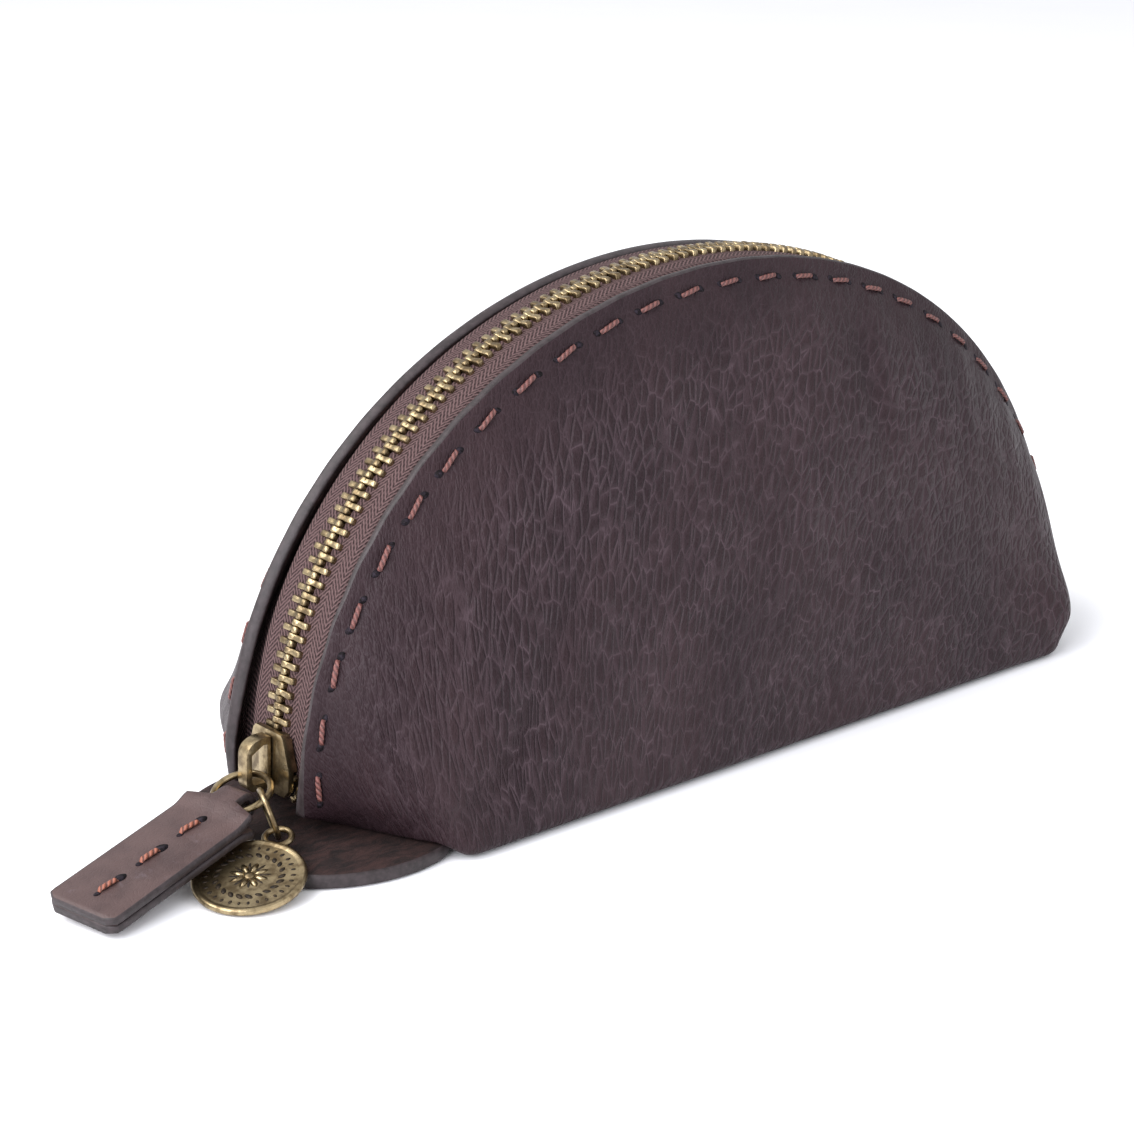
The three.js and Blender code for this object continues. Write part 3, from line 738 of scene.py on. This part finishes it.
def panel_relief(side, x, z, s, d):
    """Outward lift of the leather, mm: slow waves, creases from handling, full lower corners
    and tucks at the stitches."""
    wave = 0.35 * np.sin(x / 17 + 0.06 * z + side) * np.sin(z / 15 - 0.5)
    wave += 0.22 * np.sin(x / 9.5 - z / 13 + 2 * side) * np.sin(x / 31 + 1.7)
    fade = smooth(d / 16)
    lift = wave * fade
    for cx, cz, turn, long, wide, deep in CREASES:
        across = (x - cx) * math.sin(turn) - (z - cz) * math.cos(turn)
        along = (x - cx) * math.cos(turn) + (z - cz) * math.sin(turn)
        lift = lift - deep * np.exp(-((across / wide) ** 2) - (along / long) ** 2) * fade
    full = np.where(x < 0, 2.6 + 1.6 * side, 2.8)
    height = np.where(x < 0, 10.0, 7.0)
    lift = lift + full * np.exp(-(((np.abs(x) - 82) / 12) ** 2) - ((z - height) / 9) ** 2)
    phase = (s - STITCH_START) / STITCH_PITCH
    near = 0.5 + 0.5 * np.cos(2 * math.pi * phase)
    tuck = np.exp(-(((d - STITCH_IN) / 1.5) ** 2))
    lift = lift - 0.42 * near * tuck - 0.12 * tuck
    return lift


def side_shell(side, name):
    """One side panel, from its rim down to the fold under the pouch. Also returns functions
    that find the skin and the leather's inner face."""
    steps = 480
    u = np.linspace(0, 1, steps + 1)
    s = RIM_MARGIN + u * (ARCH_LENGTH - 2 * RIM_MARGIN)
    t = 2 * s / ARCH_LENGTH - 1
    rim = zip_point(s, side * RIM_Y, RIM_DROP - RIM_RISE * t * t)
    scallop = SCALLOP * np.cos(2 * math.pi * (s - STITCH_START) / STITCH_PITCH)
    rim[:, 1] += side * scallop * 0.6
    flat_x = np.interp(u, FOOT[0], FOOT[1][:, 0])
    flat_y = np.interp(u, FOOT[0], FOOT[1][:, 1])
    free = bottom_fold(flat_x)
    foot = np.stack([flat_x, side * flat_y, FOOT_Z + TONGUE_LIFT * free], 1)
    wall = foot - rim
    ahead = zip_point(s + 1, 0 * s, 0 * s) - zip_point(s - 1, 0 * s, 0 * s)
    out = unit(np.cross(ahead, wall)) * side
    long = np.linalg.norm(wall, axis=1)
    fold = np.minimum(FOLD_R * (1 - free) + 0.7 * free, long * 0.35)
    under = 7.0 * (1 - free) + 0.5 * free
    near_rim = np.minimum(8.5, long * 0.45)
    none = 0 * u

    def wall_point(d, into):
        """Points d down from the rim and `into` deep under the skin."""
        v = d / long
        swell = BULGE * np.sin(np.pi * v) * np.sqrt(np.sin(np.pi * np.clip(u, 1e-6, 1 - 1e-6)))
        at = rim + wall * v[:, None] + out * swell[:, None]
        lift = panel_relief(side, at[:, 0], at[:, 2], s, d)
        lift = lift * smooth((long - d) / 8)
        lift = lift - 0.18 * (0.5 + 0.5 * scallop / SCALLOP) * np.exp(-d / 1.5)
        return at + out * (lift - into)[:, None]

    start = long - fold
    first = wall_point(start, none)
    down = unit(first - wall_point(start - 0.4, 0 * u))
    inward = -unit(out + down * -np.sum(out * down, axis=1)[:, None])
    most = np.clip(np.arctan2(-down[:, 2], inward[:, 2]), 0.3, 2.4)
    centre = first + inward * fold[:, None]

    def fold_point(share, past, into):
        """Points round the bottom fold, and then `past` of the way along the flap under it."""
        cos, sin = np.cos(most * share)[:, None], np.sin(most * share)[:, None]
        r = np.maximum(fold - into, 0.08)
        at = centre + r[:, None] * (-cos * inward + sin * down)
        return at + (cos * down + sin * inward) * (past * under)[:, None]

    settle_z = foot[:, 2] - fold_point(1.0, none, none)[:, 2]

    def seat(at, d):
        """The points let down so that the fold stands on the ground."""
        at = at.copy()
        at[:, 2] += settle_z * smooth((d - (long - 14)) / 13)
        return at

    def leather_point(d, into):
        return seat(wall_point(d, none + into), d)

    rings, cut, kinds = [], [], []

    def push(points, d, kind):
        rings.append(points)
        cut.append(np.stack([s, d, 0 * s], 1))
        kinds.append(kind)

    corner = 0.5
    fine, body, bend, flap, inner = 15, 42, 8, 3, 22
    for k in range(fine):
        d = corner + (near_rim - corner) * k / (fine - 1)
        push(leather_point(d, 0), d, "skin")
    for k in range(1, body + 1):
        d = near_rim + (start - near_rim) * k / body
        push(leather_point(d, 0), d, "skin")
    for k in range(1, bend + 1):
        d = start + fold * most * k / bend
        push(seat(fold_point(k / bend, none, none), long), d, "skin")
    for k in range(1, flap + 1):
        d = start + fold * most + under * k / flap
        push(seat(fold_point(1.0, none + k / flap, none), long), d, "skin")
    push(seat(fold_point(1.0, none + 1.0, none + LEATHER / 2), long), d, "edge")
    push(seat(fold_point(1.0, none + 1.0, none + LEATHER), long), d, "flesh")
    for share in (1.0, 0.5, 0.0):
        d = start + fold * most * share
        push(seat(fold_point(share, none, none + LEATHER), long), d, "flesh")
    for k in range(inner - 1, -1, -1):
        d = corner + (start - corner) * k / inner
        push(leather_point(d, LEATHER), d, "flesh" if k else "edge")
    round_rim = [(LEATHER - 0.15, 0.15), (LEATHER - corner, 0.0), (LEATHER / 2, -0.06)]
    for into, d in [*round_rim, (corner, 0.0), (0.15, 0.15)]:
        push(leather_point(none + d, into), none + d, "edge")

    points = np.stack(rings, 1).reshape(-1, 3)
    cut = {"cut": np.stack(cut, 1).reshape(-1, 3) * MM}
    faces = rings_to_faces(steps + 1, len(kinds))
    indices = [("skin", "flesh", "edge").index(k) for k in kinds] * steps + [2, 2]
    obj = make_object(name, points, faces, [LEATHER_SKIN, FLESH, EDGE], indices, cut)

    def surface(at_s, d):
        """Point and outward direction on the skin, at that length along the zip."""
        i = int(round((at_s - RIM_MARGIN) / (ARCH_LENGTH - 2 * RIM_MARGIN) * steps))
        here = leather_point(none + d, 0)
        above = leather_point(none + d - 0.8, 0)
        below = leather_point(none + d + 0.8, 0)
        along = unit(here[min(i + 3, steps)] - here[max(i - 3, 0)])
        normal = unit(np.cross(along, below[i] - above[i])) * side
        return here[i], along, normal

    def behind(at_s, d, into):
        """Points that deep under the skin, at those lengths along the zip."""
        here = leather_point(d * np.minimum(1, start / TAPE_FLAP), into)
        inside = np.clip(at_s, s[0], s[-1])
        points = np.stack([np.interp(inside, s, here[:, k]) for k in range(3)], 1)
        return points + arch_at(at_s)[1] * (at_s - inside)[:, None]

    return obj, surface, behind


def body_stitches(side, surface, name):
    stitches, holes = [], []
    for k in range(STITCH_COUNT):
        s = STITCH_START + STITCH_PITCH * k
        at, along, normal = surface(s, STITCH_IN)
        down = np.cross(normal, along)
        slant = along + down * -0.10 * side
        stitches.append(frame_of(slant, normal, at + normal * 0.28))
        for end in (-1, 1):
            here, turn, up = surface(s + end * STITCH_LONG * 0.5, STITCH_IN)
            holes.append(frame_of(turn + np.cross(up, turn) * 0.5 * side, up, here + up * 0.05))
    stitch = stitch_piece(STITCH_LONG, 0.4)
    thread = repeat(f"{name}_stitches", stitches, stitch, THREAD, tilt=0.035, spread=0.05, seed=5 + side)
    hole = lens_piece("one awl hole", 1.9, 1.25, 0.10, HOLE)
    pricks = repeat(f"{name}_awl_holes", holes, hole, HOLE, tilt=0.06, spread=0.12, seed=9 + side)
    for piece in (stitch, hole):
        bpy.data.objects.remove(piece)
    return thread, pricks


def tape_shell(side, behind, name):
    """The woven tape: a corded edge in the teeth, a flat band, then down onto the leather's
    inner face."""
    s = np.linspace(9.6, ARCH_LENGTH - 3, 300)
    beside = SPINE_OUT + 0.3
    splay_s = ROW[1] + beside * np.sin(ROW[3])
    splay_y = ROW[2] + beside * np.cos(ROW[3])
    edge = np.where(s < SPLAY_FROM, np.interp(s, splay_s, splay_y), beside)
    bead = [(-2.35, 0.55), (-2.45, 0.2), (-2.2, -0.08), (-1.7, -0.1), (-1.3, 0.12)]
    band = [(0.0, 0.06), (0.35, 0.03), (0.7, 0.12)]
    section = []
    for across, depth in bead:
        section.append((edge + across, depth + 0 * s))
    for share, depth in band:
        section.append((edge + (TAPE_BEND - edge) * share, depth + 0 * s))
    flat_count = len(section) + 1
    for y, depth in ((TAPE_BEND, 0.2), (TAPE_BEND + 0.35, 0.6), (TAPE_BEND + 0.45, 1.6)):
        section.append((y + 0 * s, depth + 0 * s))
    front, rear = [], []
    for k, (y, depth) in enumerate(section):
        front.append(zip_point(s, side * y, TAPE_DEPTH + depth))
        if k < flat_count:
            depth = depth + TAPE_THICK
        else:
            y = y - TAPE_THICK
        rear.append(zip_point(s, side * y, TAPE_DEPTH + depth))
    for d, gap in ((6.5, 0.1), (TAPE_FLAP, -0.15)):
        front.append(behind(s, d, LEATHER + gap))
        rear.append(behind(s, d, LEATHER + TAPE_THICK + max(gap, 0)))
    rings = front + rear[::-1]
    lengths = [0.0]
    for a, b in zip(rings, rings[1:]):
        lengths.append(lengths[-1] + float(np.mean(np.linalg.norm(b - a, axis=1))))
    weave = [np.stack([s, 0 * s + v, 0 * s], 1) for v in lengths]
    points = np.stack(rings, 1).reshape(-1, 3)
    points[:, 2] = np.maximum(points[:, 2], FOOT_Z)
    flat = np.stack(weave, 1).reshape(-1, 3) * MM
    faces = rings_to_faces(len(s), len(rings))
    return make_object(name, points, faces, [TAPE], attributes={"weave": flat})


def teeth_row(side, first, piece, name):
    """One tape's teeth, each square to its own tape where the rows part at the slider."""
    places = []
    t = first + 0.43
    while t + 0.43 < ROW_END:
        s, away, angle = (float(v) for v in row_at(t))
        _, along, out = arch_at(s)
        at = zip_point(np.array(s), side * away, np.array(0.0))
        turned = along * math.cos(angle) - np.array([0, side * math.sin(angle), 0])
        across = along * math.sin(angle) + np.array([0, side * math.cos(angle), 0])
        columns = np.stack([turned * side, across, out], 1)
        if np.linalg.det(columns) < 0:
            columns[:, 0] *= -1
        places.append((columns, at))
        t += PITCH
    return repeat(name, places, piece, BRASS, tilt=0.03, spread=0.02, seed=11 + side)


tooth = tooth_piece()
for side, label, first in ((-1, "front", ROW_START), (1, "back", ROW_START + PITCH / 2)):
    shell, surface, behind = side_shell(side, f"{label}_leather")
    thread, pricks = body_stitches(side, surface, label)
    tape = tape_shell(side, behind, f"{label}_zip_tape")
    teeth = teeth_row(side, first, tooth, f"{label}_teeth")
    stop = softened(f"{label}_top_stop", f"{label}_top_stop", 0.3, BRASS)
    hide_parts(f"{label}_panel")
    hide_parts(f"{label}_seam_thread")
    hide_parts(f"{label}_zip_tape")
    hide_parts(f"{label}_teeth")
    for piece, slot in (
        (shell, "body_leather"),
        (thread, "thread"),
        (pricks, "body_leather"),
        (tape, "zip_tape"),
        (teeth, "brass"),
        (stop, "brass"),
    ):
        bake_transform(piece)
bpy.data.objects.remove(tooth)


# ---- base and tongue ----
def base_outline():
    """The round tongue at one end, then the plain body with its corners taken off."""
    x, y = TONGUE_AT
    join = math.acos((-FOOT_X - 0.5 - x) / TONGUE_R)
    angles = np.linspace(join, 2 * math.pi - join, 72)
    tongue = [(x + TONGUE_R * math.cos(a), y + TONGUE_R * math.sin(a)) for a in angles]
    right = [(74, -23.6), (81, -15), (84.5, -6), (84.5, 6), (81, 15), (74, 23.6)]
    return np.array([*tongue, (-74, -23.6), *right, (-74, 23.6)])


def inset(outline, amount):
    before = np.roll(outline, 1, axis=0)
    after = np.roll(outline, -1, axis=0)
    direction = unit(after - before)
    normal = np.stack([direction[:, 1], -direction[:, 0]], 1)
    area = np.sum(outline[:, 0] * after[:, 1] - outline[:, 1] * after[:, 0])
    return outline - normal * amount * (1 if area > 0 else -1)


def base_leather():
    """Base and tongue in one piece: skin under it, flesh side up, edge painted and rounded."""
    outline = base_outline()
    levels = [(1.2, 0.0), (0.5, 0.02), (0.12, 0.28), (0.0, 0.7)]
    levels += [(0.0, 1.7), (0.15, 2.15), (0.55, 2.4), (1.3, 2.42)]
    rings = []
    for depth, z in levels:
        ring = inset(outline, depth)
        curl = 0.5 * smooth((-100 - ring[:, 0]) / 12)
        rings.append(np.column_stack([ring, np.full(len(ring), z) + curl * (z > 0.5)]))
    around = len(outline)
    points = np.concatenate(rings)
    faces = rings_to_faces(len(levels), around)
    kinds = [0, 0, 2, 2, 2, 2, 1]
    indices = [k for k in kinds for _ in range(around)] + [0, 1]
    cut = {"cut": np.column_stack([points[:, 0] + 150, points[:, 1] + 60, 0 * points[:, 0]]) * MM}
    skins = [LEATHER_SKIN, FLESH, EDGE]
    return make_object("base_and_tongue", points, faces, skins, indices, cut)


base = base_leather()
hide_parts("base_panel")
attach(base, "base")
last_stop = softened("bottom_stop", "bottom_stop", 0.35, BRASS)
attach(last_stop, "base")

# ---- slider ----
slider = softened("slider_body", "slider_body", 0.22, BRASS)
crown = softened("slider_crown", "slider_crown", 0.34, BRASS, segments=4)
for piece in (slider, crown):
    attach(piece, "slider")

# ---- rings ----
hold, along, out = arch_at(SLIDER_AT)
RING_HOLD = hold - along * 2.75 + out * 3.5
RING_DIR = unit(PULL_RING_DIR)
RING_MIDDLE = RING_HOLD + RING_DIR * PULL_RING_R
PULLER_HOLD = RING_MIDDLE + RING_DIR * PULL_RING_R
ring_frame = frame_of(RING_DIR, PULL_RING_UP, RING_MIDDLE)
ring = torus("pull_ring", PULL_RING_R, PULL_RING_WIRE, ring_frame, BRASS)
LUG_AT = np.array(MEDAL_AT) + unit(MEDAL_LUG_DIR) * MEDAL_LUG
ring_up = unit(np.array(PULL_RING_UP) - np.dot(PULL_RING_UP, RING_DIR) * RING_DIR)
toward = np.array([0.2, -1.0, 0.0])
toward = unit(toward - np.dot(toward, ring_up) * ring_up)
charm_hold = RING_MIDDLE + toward * PULL_RING_R
charm_dir = unit(LUG_AT - charm_hold)
CHARM_RING_NORMAL = np.array([0.89, -0.16, 0.42])
charm_up = CHARM_RING_NORMAL - np.dot(CHARM_RING_NORMAL, charm_dir) * charm_dir
charm_middle = LUG_AT - charm_dir * CHARM_RING_R
charm_frame = frame_of(charm_dir, charm_up, charm_middle)
charm = torus("charm_ring", CHARM_RING_R, CHARM_RING_WIRE, charm_frame, BRASS)
for piece, node in ((ring, "pull_ring"), (charm, "charm_ring")):
    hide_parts(node)
    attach(piece, node)


# ---- puller ----
def puller_path():
    """Middle line of the folded strap, from one far end round the ring and back."""
    leaf = PULLER_LEAF / 2 + 0.06
    loop = PULLER_EYE + PULLER_LEAF / 2
    top = [(x, leaf) for x in np.linspace(PULLER_LONG, 5.2, 30)]
    rise = np.linspace(0, 1, 9)[1:]
    top += [(5.2 - 5.0 * t, leaf + (loop - leaf) * float(smooth(t))) for t in rise]
    top += [(x, loop) for x in (-0.7, -1.9)]
    angles = np.linspace(math.pi / 2, math.pi, 8)[1:]
    turn = [(-1.9 + loop * math.cos(a), loop * math.sin(a)) for a in angles]
    return top + turn + [(x, -z) for x, z in (top + turn[:-1])[::-1]]


def puller_half(x):
    """Half the strap's width: a narrow neck at the ring, rounded corners at the far end."""
    neck, half, round_r = PULLER_NECK / 2, PULLER_WIDE / 2, 1.6
    wide = neck + (half - neck) * float(smooth((x - 0.1) / 1.5))
    past = min(max(x - (PULLER_LONG - round_r), 0), round_r * 0.999)
    return wide - (round_r - math.sqrt(round_r**2 - past**2))


def puller_strap(placed):
    path = np.array(puller_path())
    before = np.vstack([path[:1], path[:-1]])
    after = np.vstack([path[1:], path[-1:]])
    direction = unit(after - before)
    normal = np.stack([-direction[:, 1], direction[:, 0]], 1)
    t, c, soft = PULLER_LEAF / 2, 0.42, 0.12
    skin, edge = 0, 1
    rings = []
    for (x, z), (nx, nz) in zip(path, normal):
        w = puller_half(x)
        section = [(-w, 0, edge), (-w, -t + c, edge), (-w + soft, -t + soft, edge)]
        section += [(-w + c, -t, skin), (-w * 0.4, -t, skin), (w * 0.4, -t, skin)]
        section += [(w - c, -t, edge), (w - soft, -t + soft, edge), (w, -t + c, edge)]
        section += [(w, 0, edge), (w, t - c, edge), (w - soft, t - soft, edge)]
        section += [(w - c, t, skin), (w * 0.4, t, skin), (-w * 0.4, t, skin)]
        section += [(-w + c, t, edge), (-w + soft, t - soft, edge), (-w, t - c, edge)]
        rings += [(x + nx * h, y, z + nz * h) for y, h, _ in section]
    faces = rings_to_faces(len(path), len(section))
    indices = [k for _, _, k in section] * (len(path) - 1) + [edge, edge]
    points = to_frame(rings, placed)
    return make_object("puller_strap", points, faces, [STRAP_SKIN, EDGE], indices)


puller_up = -np.cross(unit(PULLER_AXIS), PULLER_SIDE)
placed = frame_of(unit(PULLER_AXIS), puller_up, PULLER_HOLD)
strap = puller_strap(placed)
top = PULLER_LEAF + 0.06
flat = placed[0]
slant = flat[:, 0] + flat[:, 1] * -0.08


def along_strap(x, up):
    return frame_of(slant, flat[:, 2], to_frame([x, 0, top + up], placed))


stitches_at = (8.6, 18.0, 27.4)
stitch_spots = [along_strap(x, 0.12) for x in stitches_at]
# Painted shade: a dark lens in the awl-hole colour at one end of each stitch stands for the shade in a
# dimple there.
dimple_spots = [along_strap(x - 2.5, 0.02) for x in stitches_at]
hole_spots = [along_strap(x + 2.4, 0.03) for x in stitches_at]
stitch = stitch_piece(4.6, 0.46)
puller_stitches = repeat("puller_stitches", stitch_spots, stitch, PULLER_THREAD, 0.05, 0.04, 21)
hole = lens_piece("one awl hole", 1.5, 1.0, 0.08, HOLE)
dimple = lens_piece("one dimple", 2.7, 1.9, 0.09, HOLE)
puller_holes = repeat("puller_awl_holes", hole_spots, hole, HOLE, 0.04, 0.1, 22)
puller_dimple_shade = repeat("puller_thread_ends", dimple_spots, dimple, HOLE, 0.04, 0.08, 23)
for piece in (stitch, hole, dimple):
    bpy.data.objects.remove(piece)
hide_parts("puller_strap")
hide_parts("puller_thread")
for piece in (strap, puller_stitches, puller_holes, puller_dimple_shade):
    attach(piece, "puller")


# ---- medallion ----
def lathe(name, profile, placed, material, around=96):
    rings = []
    for r, z in profile:
        for i in range(around):
            a = 2 * math.pi * i / around
            rings.append((r * math.cos(a), r * math.sin(a), z))
    faces = rings_to_faces(len(profile), around)
    return make_object(name, to_frame(rings, placed), faces, [material])


medal_foot = np.array(MEDAL_AT) - unit(MEDAL_UP) * MEDAL_THICK
medal_frame = frame_of(MEDAL_LUG_DIR, MEDAL_UP, medal_foot)
field = MEDAL_THICK - 0.28
profile = [
    (0.4, 0.0),
    (MEDAL_R - 0.45, 0.0),
    (MEDAL_R - 0.12, 0.14),
    (MEDAL_R, 0.42),
    (MEDAL_R, MEDAL_THICK - 0.42),
    (MEDAL_R - 0.12, MEDAL_THICK - 0.12),
    (MEDAL_R - 0.42, MEDAL_THICK),
    (MEDAL_R - 0.78, MEDAL_THICK - 0.04),
    (MEDAL_R - 1.05, field + 0.06),
    (MEDAL_R - 1.35, field),
    (0.4, field + 0.05),
]
disc = lathe("medallion_disc", profile, medal_frame, BRASS)
lug = torus("medallion_lug", 2.25, 0.52, medal_frame, BRASS, 48, 14)
lug_move = medal_frame[0][:, 0] * MEDAL_LUG + medal_frame[0][:, 2] * 0.6
lug.data.transform(Matrix.Translation(Vector((lug_move * MM).tolist())))


def around_medal(radius, count, offset, tilt, z):
    """Places on a circle of the medallion's face, each turned by tilt from its radius."""
    spots = []
    turn, at = medal_frame
    for k in range(count):
        a = 2 * math.pi * (k + offset) / count
        radial = turn[:, 0] * math.cos(a) + turn[:, 1] * math.sin(a)
        across = np.cross(turn[:, 2], radial)
        direction = radial * math.cos(tilt) + across * math.sin(tilt)
        spots.append(frame_of(direction, turn[:, 2], at + radial * radius + turn[:, 2] * z))
    return spots


dash = lens_piece("one dash", 1.0, 0.62, 0.06, DARK_BRASS)
petal = lens_piece("one petal", 3.0, 1.3, 0.28, BRASS)
groove = lens_piece("one groove", 2.9, 0.75, 0.05, DARK_BRASS)
leaf = lens_piece("one leaf", 1.7, 0.95, 0.07, DARK_BRASS)
outer = around_medal(7.05, 30, 0, 0.0, field)
middle = around_medal(5.3, 22, 0.5, 0.85, field + 0.01)
star = around_medal(1.9, 8, 0, 0.0, field + 0.02)
between = around_medal(2.3, 8, 0.5, 0.0, field + 0.02)
relief = [
    repeat("medallion_outer_dashes", outer, dash, DARK_BRASS, 0.02, 0.1, 31),
    repeat("medallion_leaf_ring", middle, leaf, DARK_BRASS, 0.02, 0.08, 32),
    repeat("medallion_petals", star, petal, BRASS, 0.01, 0.02, 33),
    repeat("medallion_grooves", between, groove, DARK_BRASS, 0.01, 0.04, 34),
]
profile = [(0.02, -0.1), (0.85, -0.1), (0.85, 0.12), (0.6, 0.3), (0.02, 0.36)]
profile = [(r, field + z) for r, z in profile]
boss = lathe("medallion_boss", profile, medal_frame, BRASS, 32)
for piece in (dash, petal, groove, leaf):
    bpy.data.objects.remove(piece)
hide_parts("medallion")
for piece in (disc, lug, boss, *relief):
    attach(piece, "medallion")


# ---- floor, light and camera ----
def plane(name, half, z, material):
    corners = [(-half, -half, z), (half, -half, z), (half, half, z), (-half, half, z)]
    return make_object(name, corners, [(0, 1, 2, 3)], [material], shade=False)


floor = plane("floor", 4000, -0.15, FLOOR)


def soft_light(name, at, target, size, watts, tint):
    lamp = bpy.data.lights.new(name, "AREA")
    lamp.shape = "RECTANGLE"
    lamp.size, lamp.size_y = size
    lamp.energy = watts
    lamp.color = tint
    obj = bpy.data.objects.new(name, lamp)
    obj.location = at
    aim = Vector(target) - Vector(at)
    obj.rotation_euler = aim.to_track_quat("-Z", "Y").to_euler()
    bpy.context.scene.collection.objects.link(obj)
    return obj


soft_light("key", (-0.75, 0.35, 0.85), (0, 0, 0.03), (0.9, 0.9), 14.0, (1.0, 0.99, 0.98))
soft_light("fill", (0.1, -0.95, 0.6), (0, 0, 0.03), (1.1, 0.8), 2.5, (0.93, 0.95, 1.0))
soft_light("side card", (-0.95, -0.3, 0.45), (-0.05, 0, 0.04), (0.5, 0.7), 9.0, (0.93, 0.94, 1.0))
world = bpy.context.scene.world or bpy.data.worlds.new("studio")
bpy.context.scene.world = world
world.use_nodes = True
backdrop = world.node_tree.nodes["Background"].inputs
backdrop["Color"].default_value = (0.96, 0.97, 1.0, 1)
backdrop["Strength"].default_value = 1.0

CAMERA_AT = np.array([-299.49, -304.57, 166.33])
AZIMUTH, ELEVATION, ROLL = (math.radians(a) for a in (41.5298, 18.1040, 0.8297))
level = np.array([math.sin(AZIMUTH), math.cos(AZIMUTH), 0])
forward = level * math.cos(ELEVATION) - np.array([0, 0, math.sin(ELEVATION)])
flat_right = np.array([math.cos(AZIMUTH), -math.sin(AZIMUTH), 0])
flat_up = np.cross(flat_right, forward)
right = flat_right * math.cos(ROLL) + flat_up * math.sin(ROLL)
up = flat_up * math.cos(ROLL) - flat_right * math.sin(ROLL)
lens = bpy.data.cameras.new("camera")
lens.lens = 74.45
lens.sensor_width = 36
lens.clip_start = 0.01
camera = bpy.data.objects.new("camera", lens)
columns = Matrix(np.stack([right, up, -forward], 1).tolist()).to_4x4()
camera.matrix_world = Matrix.Translation(Vector((CAMERA_AT * MM).tolist())) @ columns
bpy.context.scene.collection.objects.link(camera)
bpy.context.scene.camera = camera
bpy.context.scene.view_settings.view_transform = "Standard"
